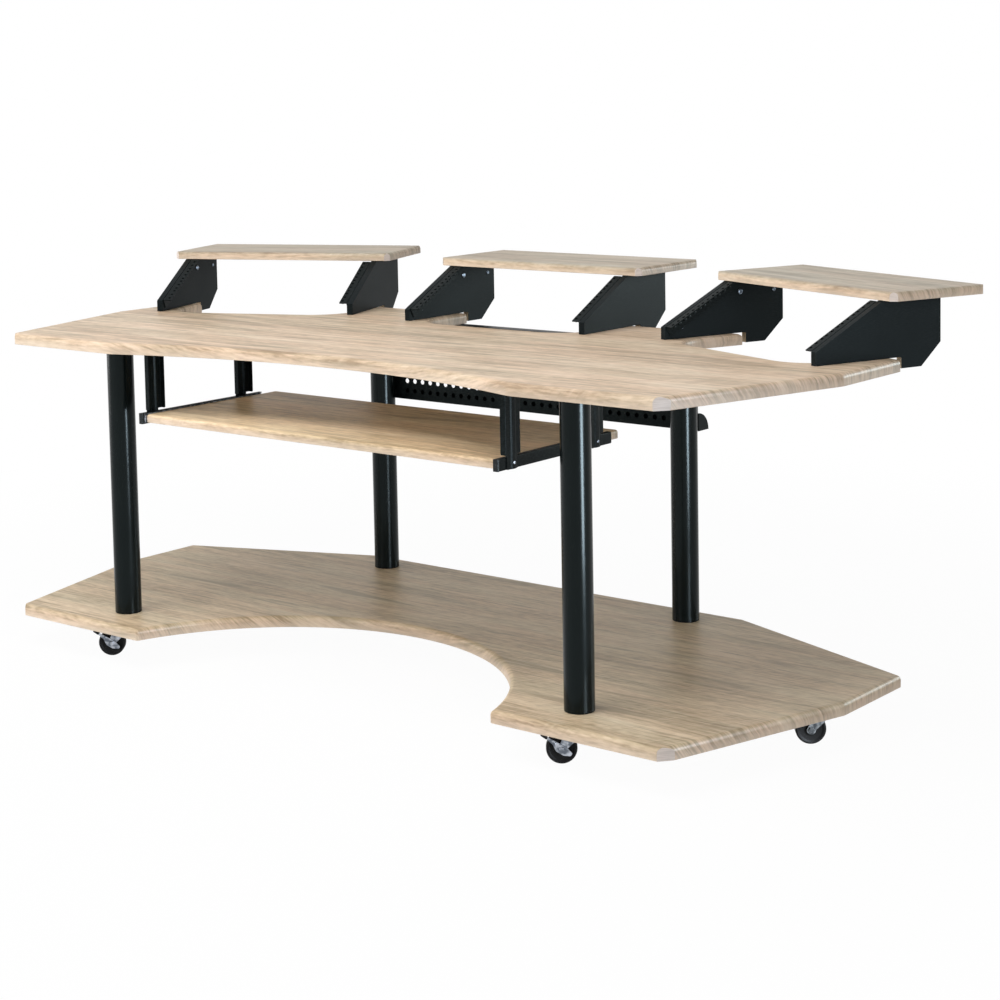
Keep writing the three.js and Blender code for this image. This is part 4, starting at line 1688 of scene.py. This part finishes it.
    def _add_bolts(self, hand: int) -> None:
        """Builds the bolt heads on a panel's inner face.

        Args:
            hand: -1 for left, 1 for right.
        """
        heads = Shape()
        face = hand * self.boards.bay_clear / 2
        for y, z, radius in self.bolt_places:
            head = button_head(radius, radius * self.bolt_height, radius * self.bolt_height)
            heads.add(head, at(face, y, z) @ facing(Axis.X, -hand))
        add_piece(heads.moved(self.frame), f"panel_bolts_{self._label(hand)}", [BOLT_ZINC_PAINTED_SHADE], "desk")


@dataclass(frozen=True)
class KeyboardTray:
    """The sliding tray, its two slides and the four hangers that carry them."""

    levels: Levels
    setback: float = 43
    edge_radius: float = 6
    corner_radius: float = 5
    seed: float = 11.9
    slide_length: float = 370
    slide_height: float = 24
    slide_width: float = 12.7
    slide_lead: float = 11
    sheet: float = 1.5
    running_gap: float = 0.8
    rail_lead: float = 2
    bar_lead: float = 1
    bar_bevel: float = 0.8
    cap_length: float = 8
    cap_lap: float = 2.6
    cap_turn: float = 0.45
    cap_edge: float = 1.5
    cap_bevel: float = 1.0
    window_insets: Ends = (3.5, 5)
    window_ends: Ends = (-0.5, 0.6)
    window_half: float = 3
    hanger_width: float = 47
    hanger_flange: float = 13
    hanger_clearance: float = 4
    hanger_tab: float = 36
    hanger_corner: float = 3
    neck_corner: float = 1
    tab_corner: float = 5
    ridge_width: float = 9
    ridge_height: float = 2
    hanger_places: tuple[tuple[str, float], ...] = (("front", 54.5), ("rear", 326.5))
    fold: float = 2.2
    foot_start_share: float = 1.5
    foot_end_share: float = 0.4
    foot_screw: Screw = (3.6, 1.8, 1.5)
    tab_screw: Screw = (3.6, 1.6, 1.5)
    tab_screw_spread: float = 13
    tab_screw_inset: float = 20

    @property
    def bar_face(self) -> float:
        """How far out the slides start, beside the tray."""
        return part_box("keyboard_tray")[1].x / MM + SEAT_GAP

    @property
    def outer_back(self) -> float:
        """How far out the outer members reach."""
        return self.bar_face + self.slide_width

    @property
    def slide_middle(self) -> float:
        """The height of the slides' middle."""
        return (self.levels.tray_foot + self.levels.tray_top) / 2

    def build(self) -> None:
        """Builds the tray, the slides and the hangers."""
        self._add_board()
        for hand in SIDES:
            self._add_slide(hand)
            for name, setback in self.hanger_places:
                self._add_hanger(hand, name, setback)

    def _add_board(self) -> None:
        """Builds the tray's board."""
        low, high = (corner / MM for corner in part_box("keyboard_tray"))
        corners = rectangle(low.x, low.y, high.x, high.y)
        outline = rounded([(x, y, self.corner_radius) for x, y in corners])
        shape = foil_board(outline, high.z - low.z, self.edge_radius, self.seed)
        add_piece(shape.moved(at(z=low.z)), "keyboard_tray_foiled", [TRAY_OAK_PAINTED_LIGHT, BACKING], "tray",
                  ["keyboard_tray"])

    def _channel(self, hand: int, back: float, lips: float, height: float, start: float) -> Shape:
        """A channel that opens towards the tray.

        Args:
            hand: The side that the slide is on.
            back: How far out its back is.
            lips: How far out its lips are.
            height: Its height.
            start: Where its front end is. Its rear end is the slide's.

        Returns:
            The channel.
        """
        half = height / 2
        path = [(lips, -half), (back, -half), (back, half), (lips, half)]
        sheet = FoldedSheet(path, self.sheet, self.fold)
        flat = rectangle(0, start, sheet.length(), self.slide_length)
        return sheet.build(flat, [], lambda a, b, v: Vector((hand * a, v, b)))

    def _add_slide(self, hand: int) -> None:
        """Builds the three members of one slide and its end cap.

        Args:
            hand: -1 for left, 1 for right.
        """
        step = self.sheet + self.running_gap
        name = HANDS[hand]
        place = self.levels.frame() @ at(y=self.setback - self.slide_lead, z=self.slide_middle)
        outer = self._channel(hand, self.outer_back, self.bar_face + self.sheet, self.slide_height,
                              self.cap_length - self.rail_lead)
        add_piece(outer.moved(place), f"slide_rail_{name}", [STEEL_COAT], "desk",
                  [f"slide_outer_{name}"])
        middle = self._channel(hand, self.outer_back - step, self.bar_face + step,
                               self.slide_height - 2 * step, self.cap_length)
        add_piece(middle.moved(place), f"slide_carrier_{name}", [ZINC], f"slide_middle_{name}",
                  [f"slide_middle_{name}"])
        half = self.slide_height / 2 - 2 * step
        near, far = hand * self.bar_face, hand * (self.outer_back - 2 * step)
        section = rectangle(min(near, far), -half, max(near, far), half)
        bar = extruded(section, self.cap_length - self.bar_lead, self.slide_length, Axis.Y)
        add_piece(bar.moved(place), f"slide_bar_{name}", [ZINC], "tray",
                  [f"slide_inner_{name}"], bevel=self.bar_bevel)
        self._add_cap(hand, place)

    def _add_cap(self, hand: int, place: Matrix) -> None:
        """Builds the rounded cap on the front end of one slide's bar.

        Args:
            hand: -1 for left, 1 for right.
            place: The slide's place.
        """
        half = self.slide_height / 2
        near, far, rear = self.bar_face, self.outer_back, self.cap_length - self.cap_lap
        turn = self.slide_width * self.cap_turn
        outline = rounded([(near, rear), (near, 0, self.cap_edge), (far, 0, turn), (far, rear)])
        shape = extruded(outline, -half, half)
        (near_inset, far_inset), (front, back) = self.window_insets, self.window_ends
        window = rectangle(near + near_inset, front, far - far_inset, back)
        shape.add(extruded(window, -self.window_half, self.window_half))
        shape = shape.moved(mirrored(hand))
        add_piece(shape.moved(place), f"slide_cap_{HANDS[hand]}", [PEDAL_MOULDING], "tray",
                  bevel=self.cap_bevel)

    def _add_hanger(self, hand: int, name: str, setback: float) -> None:
        """Builds one folded hanger and its three screws.

        Args:
            hand: -1 for left, 1 for right.
            name: Which of the side's hangers it is.
            setback: How far it is behind the front edge.
        """
        back = self.outer_back + SEAT_GAP + self.sheet
        top = self.levels.top_foot - SEAT_GAP
        flange_foot = self.slide_middle + self.slide_height / 2 + self.hanger_clearance
        foot = self.slide_middle - self.slide_height / 2
        lip, middle, crest = back - self.hanger_flange, self.hanger_width / 2, back + self.ridge_height
        ridge = self.ridge_width
        path = [
            (lip, 0), (back, 0), (back, middle - ridge), (crest, middle - ridge / 2),
            (crest, middle + ridge / 2), (back, middle + ridge),
            (back, self.hanger_width), (lip, self.hanger_width),
        ]
        sheet = FoldedSheet(path, self.sheet, self.fold)
        start = sheet.along(path.index((back, 0)), self.fold * self.foot_start_share)
        end = sheet.along(path.index((back, middle + ridge)), ridge * self.foot_end_share)
        width, outer, neck = sheet.length(), self.hanger_corner, self.neck_corner
        flat = rounded([
            (0, flange_foot, outer), (start, flange_foot, neck), (start, foot, outer),
            (end, foot, outer), (end, flange_foot, neck), (width, flange_foot, outer),
            (width, top), (0, top),
        ])
        shape = sheet.build(flat, [], lambda a, b, v: Vector((hand * a, b, v)))
        inner = back - self.sheet
        tip, rear = inner - self.hanger_tab + self.sheet, self.hanger_width - self.fold
        tab = rounded([
            (tip, self.fold, self.tab_corner), (inner, self.fold), (inner, rear),
            (tip, rear, self.tab_corner),
        ])
        shape.add(extruded(tab, top - self.sheet, top).moved(mirrored(hand)))
        place = self.levels.frame() @ at(y=setback)
        label = f"{name}_{HANDS[hand]}"
        add_piece(shape.moved(place), f"tray_hanger_{label}", [STEEL_COAT], "desk",
                  [f"hanger_{label}"])
        spot = at(hand * crest, middle, self.slide_middle) @ facing(Axis.X, hand)
        screws = Shape().add(button_head(*self.foot_screw), spot)
        for side in SIDES:
            spot = at(hand * (inner - self.tab_screw_inset), middle + side * self.tab_screw_spread,
                      top - self.sheet)
            screws.add(button_head(*self.tab_screw), spot @ facing(Axis.Z, -1))
        add_piece(screws.moved(place), f"hanger_screws_{label}", [ZINC], "desk")


@dataclass(frozen=True)
class CableTray:
    """A folded, perforated sheet behind the rear legs, with a plate at each end."""

    levels: Levels
    leg_setback: float = 765
    leg_radius: float = 30
    leg_clearance: float = 3
    drop: float = 193
    trough_radius: float = 40
    sheet: float = 1.5
    fold: float = 2.4
    flange: float = 34
    end_plate: float = 2
    end_bevel: float = 0.4
    hole_radius: float = 6
    hole_sides: int = 24
    hole_pitch: float = 24.5
    hole_margin: float = 60
    hole_rows: int = 2
    first_row: float = 21.5
    hood_turn: float = math.radians(72)
    hood_steps: int = 9
    notch_radius: float = 48.8
    notch_depth: float = 4.6
    notch_steps: int = 16

    @property
    def front(self) -> float:
        """Where the perforated front stands."""
        return self.leg_setback + self.leg_radius + self.leg_clearance

    @property
    def half_width(self) -> float:
        """Half of the whole tray's width."""
        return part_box("cable_tray_end_right")[1].x / MM

    @property
    def leg_x(self) -> float:
        """How far out the rear legs stand."""
        low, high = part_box("leg_rear_right")
        return (low.x + high.x) / 2 / MM

    def build(self) -> None:
        """Builds the sheet and its two end plates."""
        self._add_sheet()
        for hand in SIDES:
            self._add_end(hand)

    def _curl(self, turn: float) -> list[Point]:
        """Points round the trough, from its floor up.

        Args:
            turn: How far round the points go, in radians.

        Returns:
            The points.
        """
        floor = self.levels.top_foot - self.drop
        angles = [turn * s / self.hood_steps for s in range(self.hood_steps + 1)]
        return [(self.front + self.trough_radius * math.cos(a), floor + self.trough_radius * math.sin(a))
                for a in angles]

    def _add_sheet(self) -> None:
        """Builds the folded sheet with its holes and its notches for the leg plates."""
        top = self.levels.top_foot - SEAT_GAP
        floor = self.levels.top_foot - self.drop
        path = [
            (self.front + self.flange, top), (self.front, top), (self.front, floor),
            *self._curl(self.hood_turn),
        ]
        sheet = FoldedSheet(path, self.sheet, self.fold)
        half = self.half_width - self.end_plate - SEAT_GAP
        steps = int(2 * (self.half_width - self.hole_margin) / self.hole_pitch)
        holes = []
        for row in range(self.hole_rows):
            u = sheet.along(1, top - floor - self.first_row - row * self.hole_pitch)
            for i in range(steps + 1):
                v = (i - steps / 2) * self.hole_pitch
                holes.append(circle(u, v, self.hole_radius, self.hole_sides))
        bend = sheet.along(0, self.flange - self.fold)
        for side in SIDES:
            holes.append(self._notch(side * self.leg_x, bend))
        flat = rectangle(0, -half, sheet.length(), half)
        shape = sheet.build(flat, holes, lambda a, b, v: Vector((v, a, b)))
        add_piece(shape.moved(self.levels.frame()), "cable_tray_sheet", [STEEL_COAT], "desk",
                  ["cable_tray"])

    def _notch(self, x: float, bend: float) -> list[Point]:
        """The flat outline of the notch round one leg plate.

        Args:
            x: How far out the leg is.
            bend: Where the flange starts on the flat sheet.

        Returns:
            The notch's points.
        """
        offset = self.front - self.leg_setback
        reach = math.sqrt(self.notch_radius**2 - offset**2)
        spread = math.atan2(reach, offset)
        points = []
        for s in range(self.notch_steps + 1):
            angle = spread * (2 * s / self.notch_steps - 1)
            rise = max(0.0, self.notch_radius * math.cos(angle) - offset)
            points.append((bend - rise, x + self.notch_radius * math.sin(angle)))
        far = bend + self.fold + self.notch_depth
        return [*points, (far, x + reach), (far, x - reach)]

    def _add_end(self, hand: int) -> None:
        """Builds one end plate, a quarter disc.

        Args:
            hand: -1 for left, 1 for right.
        """
        floor = self.levels.top_foot - self.drop
        outline = [(self.front, floor), *self._curl(math.pi / 2)]
        near, far = hand * (self.half_width - self.end_plate), hand * self.half_width
        shape = extruded(outline, min(near, far), max(near, far), Axis.X)
        add_piece(shape.moved(self.levels.frame()), f"trough_end_{HANDS[hand]}", [STEEL_COAT], "desk",
                  [f"cable_tray_end_{HANDS[hand]}"], bevel=self.end_bevel)


@dataclass(frozen=True)
class Caster:
    """One swivel caster. Its local X runs from the swivel to the wheel and Y along the axle.

    The side profile of its wheel gives radii, depths below the wheel's side and roundings. The
    outlines of the brake are seen from the side, round the axle, with roundings as the third number.
    """

    name: str
    braked: bool
    wheel_radius: float = 30
    wheel_width: float = 22
    wheel_sides: int = 72
    side_profile: tuple[Corner, ...] = (
        (9.2, 0, 0.6), (10.6, 2.4, 0.8), (14.5, 3.0, 0), (22, 2.0, 1.5), (25, 0.6, 1.0),
        (27.2, 0.1, 1.2), (30, 3.4, 3.0),
    )
    axle_radius: float = 4
    axle_sides: int = 24
    axle_nut: Nut = (11, 3.5)
    side_gap: float = 1.2
    fork_sheet: float = 2.5
    fork_fold: float = 3.5
    crown_radius: float = 21
    crown_sweep: float = math.radians(40)
    crown_steps: int = 10
    eye_radius: float = 9
    eye_steps: int = 12
    eye_gap: float = 0.2
    waist_share: float = 0.55
    waist_reach: float = 6
    heel_share: float = 0.35
    trail: float = 20
    rest_turn: float = math.pi + math.radians(38)
    plate_thickness: float = 2.5
    plate_corner: float = 7
    screw_share: float = 0.72
    screw_hole: float = 3.2
    screw_head: Nut = (8, 3.2)
    race_radius: float = 18
    race_height: float = 2.6
    race_flare: float = 1.5
    race_edge: float = 1.6
    pin_radius: float = 6
    pin_height: float = 1.5
    pin_edge: float = 0.6
    pin_sides: int = 32
    pedal_sheet: float = 2
    pedal_tilt: float = math.radians(30)
    arm_outline: tuple[Corner, ...] = (
        (-21, -2.5, 2.2), (-21, 3.5, 2.2), (-9, 7.5, 4), (8, 8.5, 3), (37, 7.8, 1), (37, 4, 1),
        (20, 0.5, 6), (8, -8, 6), (-8, -8.5, 5),
    )
    arm_start: float = -22
    rivet: Screw = (2.6, 1.2, 1.0)
    rivet_place: Point = (18, 4)
    pad_outline: tuple[Corner, ...] = ((35, 3, 1.5), (49, 4, 2.5), (50, 7.5, 2.0), (35, 9, 2.0))
    pad_overhang: float = 1
    pad_bevel: float = 0.4
    rib_count: int = 4
    first_rib: float = 37.5
    rib_pitch: float = 2.8
    rib_width: float = 1.2
    rib_foot: float = 7.4
    rib_top: float = 9.4
    rib_inset: float = 2

    @property
    def plating(self) -> Finish:
        """The plating of the fork. Casters without a brake get a darker copy of the zinc, which is painted
        shade.
        """
        return ZINC if self.braked else ZINC_PAINTED_SHADE

    @property
    def swivel(self) -> Vector:
        """The swivel's place on the floor."""
        low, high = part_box(f"caster_plate_{self.name}")
        return Vector(((low.x + high.x) / 2 / MM, (low.y + high.y) / 2 / MM, 0))

    @property
    def cheek(self) -> float:
        """How far the fork's cheeks stand from the wheel's middle."""
        return self.wheel_width / 2 + self.side_gap

    @property
    def frame(self) -> Matrix:
        """The turned frame of the fork, on the floor under its swivel."""
        spot = self.swivel
        return at(spot.x, spot.y, 0, self.rest_turn)

    @property
    def hub(self) -> Matrix:
        """The turned frame at the middle of the wheel."""
        return self.frame @ at(self.trail, 0, self.wheel_radius)

    def build(self) -> None:
        """Builds the plate, the fork, the wheel and, where it has one, the brake."""
        self._add_plate()
        self._add_fork()
        self._add_wheel()
        if self.braked:
            self._add_brake()

    def _add_plate(self) -> None:
        """Builds the mounting plate with its ball race, pin and four screws."""
        low, high = (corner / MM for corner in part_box(f"caster_plate_{self.name}"))
        half = (high.x - low.x) / 2
        inset = half * self.screw_share
        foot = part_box(f"caster_plate_{self.name}")[1].z / MM - self.plate_thickness
        sheet = FoldedSheet([(-half, 0), (half, 0)], self.plate_thickness, 1)
        corners = rectangle(0, -half, 2 * half, half)
        outline = rounded([(x, y, self.plate_corner) for x, y in corners])
        spots = [(x * inset, y * inset) for x in SIDES for y in SIDES]
        holes = [circle(half + x, y, self.screw_hole) for x, y in spots]
        shape = sheet.build(outline, holes, lambda a, b, v: Vector((a, v, foot + b)))
        race_foot = foot - self.race_height
        shape.add(lathe(rounded([
            (0, foot), (0, race_foot), (self.race_radius, race_foot, self.race_edge),
            (self.race_radius + self.race_flare, foot),
        ])))
        pin_foot, pin_top = low.z, low.z + self.pin_height
        shape.add(lathe(rounded([
            (0, pin_foot), (self.pin_radius, pin_foot, self.pin_edge), (self.pin_radius, pin_top),
            (0, pin_top),
        ]), self.pin_sides))
        middle = self.swivel
        add_piece(shape.moved(at(middle.x, middle.y)), f"caster_mount_{self.name}", [ZINC], "desk",
                  [f"caster_plate_{self.name}"])
        heads = Shape()
        for x, y in spots:
            heads.add(hex_nut(*self.screw_head), at(middle.x + x, middle.y + y, foot) @ facing(Axis.Z, -1))
        add_piece(heads, f"caster_screws_{self.name}", [ZINC], "desk")

    def _add_fork(self) -> None:
        """Builds the fork, one folded sheet with an eye in each cheek, and its axle bolt."""
        outer = self.cheek + self.fork_sheet
        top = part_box(f"caster_fork_{self.name}")[1].z / MM
        drop = top - self.wheel_radius + self.eye_radius
        path = [(outer, top - drop), (outer, top), (-outer, top), (-outer, top - drop)]
        sheet = FoldedSheet(path, self.fork_sheet, self.fork_fold)
        reach = math.sqrt(self.crown_radius**2 - outer**2)
        width = sheet.length()
        shoulder = sheet.along(1, 0)
        turns = [self.crown_sweep * (2 * s / self.crown_steps - 1) for s in range(self.crown_steps + 1)]
        crown = [
            (width / 2 + self.crown_radius * math.sin(a), self.crown_radius * math.cos(a)) for a in turns
        ]
        turns = [math.pi * s / self.eye_steps - math.pi / 2 for s in range(self.eye_steps + 1)]
        eye = [
            (self.eye_radius * (1 - math.cos(a)), self.trail + self.eye_radius * math.sin(a))
            for a in turns
        ]
        waist = drop * self.waist_share
        front = [*eye, (waist, reach + self.waist_reach), (shoulder, reach)]
        rear = [(shoulder, -reach), (waist, -reach * self.heel_share)]
        outline = [
            *front, *crown, *[(width - u, v) for u, v in reversed(front)],
            *[(width - u, v) for u, v in reversed(rear)], *[(u, -v) for u, v in reversed(crown)], *rear,
        ]
        hole = self.axle_radius + self.eye_gap
        holes = [circle(u, self.trail, hole) for u in (self.eye_radius, width - self.eye_radius)]
        shape = sheet.build(outline, holes, lambda a, b, v: Vector((v, a, b)))
        end = outer + (SEAT_GAP + self.pedal_sheet + SEAT_GAP if self.braked else 0)
        profile = [(0, -end), (self.axle_radius, -end), (self.axle_radius, end), (0, end)]
        across = at(self.trail, 0, self.wheel_radius)
        shape.add(lathe(profile, self.axle_sides), across @ facing(Axis.Y))
        for side in SIDES:
            shape.add(hex_nut(*self.axle_nut), across @ at(y=side * end) @ facing(Axis.Y, side))
        add_piece(shape.moved(self.frame), f"caster_horn_{self.name}", [self.plating],
                  f"caster_{self.name}", [f"caster_fork_{self.name}"])

    def _add_wheel(self) -> None:
        """Builds the wheel: a rounded tread, dished side walls and a hub."""
        half = self.wheel_width / 2
        bore = self.axle_radius + SEAT_GAP
        side = [(bore, half, 0.0), *[(r, half - depth, edge) for r, depth, edge in self.side_profile]]
        profile = rounded([*side, *[(r, -y, edge) for r, y, edge in reversed(side)]])
        shape = lathe(profile, self.wheel_sides)
        add_piece(shape.moved(self.hub @ facing(Axis.Y)), f"caster_tread_{self.name}", [RUBBER],
                  f"wheel_{self.name}", [f"caster_wheel_{self.name}"])

    def _add_brake(self) -> None:
        """Builds the brake: two zinc arms on the axle and a moulded pad."""
        inner = self.cheek + self.fork_sheet + SEAT_GAP
        outer = inner + self.pedal_sheet
        end = max(x for x, _, _ in self.pad_outline)
        sheet = FoldedSheet([(self.arm_start, 0), (end, 0)], self.pedal_sheet, 1)
        flat = [(x - self.arm_start, z) for x, z in rounded(self.arm_outline)]
        hole = circle(-self.arm_start, 0, self.axle_radius + SEAT_GAP)
        x, z = self.rivet_place
        arms = Shape()
        for side in SIDES:
            arms.add(sheet.build(flat, [hole], lambda a, b, v, s=side: Vector((a, s * (inner + b), v))))
            arms.add(button_head(*self.rivet), at(x, side * outer, z) @ facing(Axis.Y, side))
        tilt = self.hub @ Matrix.Rotation(-self.pedal_tilt, 4, "Y")
        body = f"pedal_{self.name}"
        add_piece(arms.moved(tilt), f"brake_arms_{self.name}", [ZINC], body)
        half = outer + self.pad_overhang
        pad = extruded(rounded(self.pad_outline), -half, half, Axis.Y)
        half = outer - self.rib_inset
        for i in range(self.rib_count):
            x = self.first_rib + self.rib_pitch * i
            rib = rectangle(x, self.rib_foot, x + self.rib_width, self.rib_top)
            pad.add(extruded(rib, -half, half, Axis.Y))
        add_piece(pad.moved(tilt), f"brake_pad_{self.name}", [PEDAL_MOULDING], body,
                  [f"brake_pedal_{self.name}"], bevel=self.pad_bevel)


# Studio


@dataclass(frozen=True)
class Camera:
    """The photograph's camera, fitted to the desk."""

    place: tuple[float, float, float] = (2958.6, -3532.0, 1304.3)
    yaw: float = math.radians(38.774)
    pitch: float = math.radians(5)
    roll: float = math.radians(-1.045)
    focal_share: float = 2.0772
    sensor: float = 36
    shift_y: float = -0.2437
    far_end: float = 100

    def build(self) -> None:
        """Makes the camera and gives it to the scene."""
        data = bpy.data.cameras.new("photo_camera")
        data.sensor_fit = "HORIZONTAL"
        data.sensor_width = self.sensor
        data.lens = self.focal_share * self.sensor
        data.shift_y = self.shift_y
        data.clip_end = self.far_end
        camera = bpy.data.objects.new("photo_camera", data)
        bpy.context.scene.collection.objects.link(camera)
        right = Vector((math.cos(self.yaw), math.sin(self.yaw), 0))
        ahead = Vector((
            -math.sin(self.yaw) * math.cos(self.pitch), math.cos(self.yaw) * math.cos(self.pitch),
            -math.sin(self.pitch),
        ))
        up = right.cross(ahead)
        c, s = math.cos(self.roll), math.sin(self.roll)
        rolled = Matrix((c * right + s * up, -s * right + c * up, -ahead)).transposed()
        camera.matrix_world = Matrix.Translation(Vector(self.place) * MM) @ rolled.to_4x4()
        bpy.context.scene.camera = camera


@dataclass(frozen=True)
class Softbox:
    """One soft lamp, aimed at a point of the desk. Its sizes and places are in metres."""

    name: str
    place: tuple[float, float, float]
    aim: tuple[float, float, float]
    width: float
    height: float
    power: float
    in_gloss_only: bool = False
    colour: Colour = WHITE

    def build(self) -> None:
        """Hangs the lamp."""
        data = bpy.data.lights.new(self.name, "AREA")
        data.shape = "RECTANGLE"
        data.size, data.size_y = self.width, self.height
        data.energy = self.power
        data.color = self.colour
        lamp = bpy.data.objects.new(self.name, data)
        bpy.context.scene.collection.objects.link(lamp)
        way = Vector(self.aim) - Vector(self.place)
        lamp.visible_camera = False
        lamp.visible_diffuse = not self.in_gloss_only
        aimed = way.to_track_quat("-Z", "Y").to_matrix().to_4x4()
        lamp.matrix_world = Matrix.Translation(self.place) @ aimed


@dataclass(frozen=True)
class Studio:
    """The pale floor, the white surroundings and the lamps."""

    floor_half: float = 30
    floor_white: float = 0.86
    floor_shade: float = 0.94
    tint_scale: float = 3.0
    tint_share: float = 0.04
    floor_glow: float = 0.965
    shadow_reach: tuple[float, float] = (1.2, 2.8)
    sky: float = 0.24
    lamps: tuple[Softbox, ...] = (
        Softbox("overhead_softbox", (-0.2, -1.5, 3.2), (-0.05, 0.0, 0.6), 3.2, 1.8, 80),
        Softbox("front_fill", (-1.2, -4.9, 1.5), (-0.1, 0, 0.6), 3.0, 1.2, 76),
        Softbox("left_softbox", (-4.4, -1.4, 0.9), (-0.3, 0, 0.2), 1.8, 1.4, 52),
        Softbox("right_softbox", (4.6, -0.9, 1.6), (0.3, 0, 0.5), 1.2, 1.8, 22),
        Softbox("strip_seen_in_legs", (2.4, -0.66, 1.05), (0.7, -0.5, 1.05), 0.52, 2.1, 220,
                in_gloss_only=True, colour=(0.82, 0.9, 1.0)),
        Softbox("gleam_on_panels", (2.6, 3.6, 1.3), (0, 0.35, 0.85), 2.0, 1.2, 135,
                in_gloss_only=True, colour=(0.85, 0.98, 1.0)),
    )

    def build(self) -> None:
        """Builds the floor, the surroundings and the lamps."""
        self._add_floor()
        self._add_sky()
        for lamp in self.lamps:
            lamp.build()

    @staticmethod
    def _seen(tree: bpy.types.NodeTree) -> bpy.types.NodeSocket:
        """One for rays that show the background, straight or in gloss or glass, and else zero.

        Args:
            tree: The tree that the nodes go in.

        Returns:
            The socket of the number.
        """
        path = tree.nodes.new("ShaderNodeLightPath")
        total = path.outputs["Is Camera Ray"]
        for name in ("Is Glossy Ray", "Is Transmission Ray"):
            node = tree.nodes.new("ShaderNodeMath")
            node.operation = "MAXIMUM"
            tree.links.new(total, node.inputs[0])
            tree.links.new(path.outputs[name], node.inputs[1])
            total = node.outputs[0]
        return total

    def _add_floor(self) -> None:
        """Builds the floor, which keeps the desk's shadow."""
        shader = Shader("pale_floor")
        tint = shader.noise(shader.here(), self.tint_scale) * self.tint_share
        pale, shade = [self.floor_white] * 3, [self.floor_white * self.floor_shade] * 3
        plain = shader.add("ShaderNodeBsdfDiffuse", {}, {"Color": shader.mixed(tint, pale, shade)})
        glow = shader.add("ShaderNodeEmission", {}, {"Color": (*WHITE, 1), "Strength": 1.0})
        seen = Wire(shader, self._seen(shader.tree))
        away = shader.add("ShaderNodeVectorMath", {"operation": "LENGTH"}, {0: shader.here()}, "Value")
        share = self.floor_glow + away.ramp(*self.shadow_reach) * (1 - self.floor_glow)
        surface = shader.add("ShaderNodeMixShader", {}, {0: seen * share, 1: plain, 2: glow})
        shader.add_output(surface)
        half = self.floor_half
        mesh = bpy.data.meshes.new("floor")
        mesh.from_pydata([(x, y, 0) for x, y in rectangle(-half, -half, half, half)], [], [(0, 1, 2, 3)])
        mesh.materials.append(shader.material)
        floor = bpy.data.objects.new("floor", mesh)
        bpy.context.scene.collection.objects.link(floor)

    def _add_sky(self) -> None:
        """Makes the surroundings: white where they are seen and softer as light."""
        world = bpy.data.worlds.new("studio")
        bpy.context.scene.world = world
        world.use_nodes = True
        tree = world.node_tree
        background = tree.nodes["Background"]
        background.inputs["Color"].default_value = (*WHITE, 1)
        spread = tree.nodes.new("ShaderNodeMapRange")
        spread.inputs["To Min"].default_value = self.sky
        spread.inputs["To Max"].default_value = 1.0
        tree.links.new(self._seen(tree), spread.inputs["Value"])
        tree.links.new(spread.outputs[0], background.inputs["Strength"])


def main() -> None:
    """Builds the desk, piece by piece, and the studio round it."""
    logging.basicConfig(level=logging.INFO, format="%(name)s: %(message)s")
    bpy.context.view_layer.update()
    bpy.context.scene.view_settings.view_transform = "Standard"
    Camera().build()
    Studio().build()
    levels = Levels.read()
    boards = Boards(levels)
    boards.build()
    Legs(levels).build()
    for name, side, seed in BAYS:
        RackBay(boards, name, side, seed).build()
    KeyboardTray(levels).build()
    CableTray(levels).build()
    for name in CASTERS:
        Caster(name, braked=name.startswith("front")).build()
    log.info("finished")


if __name__ == "__main__":
    main()
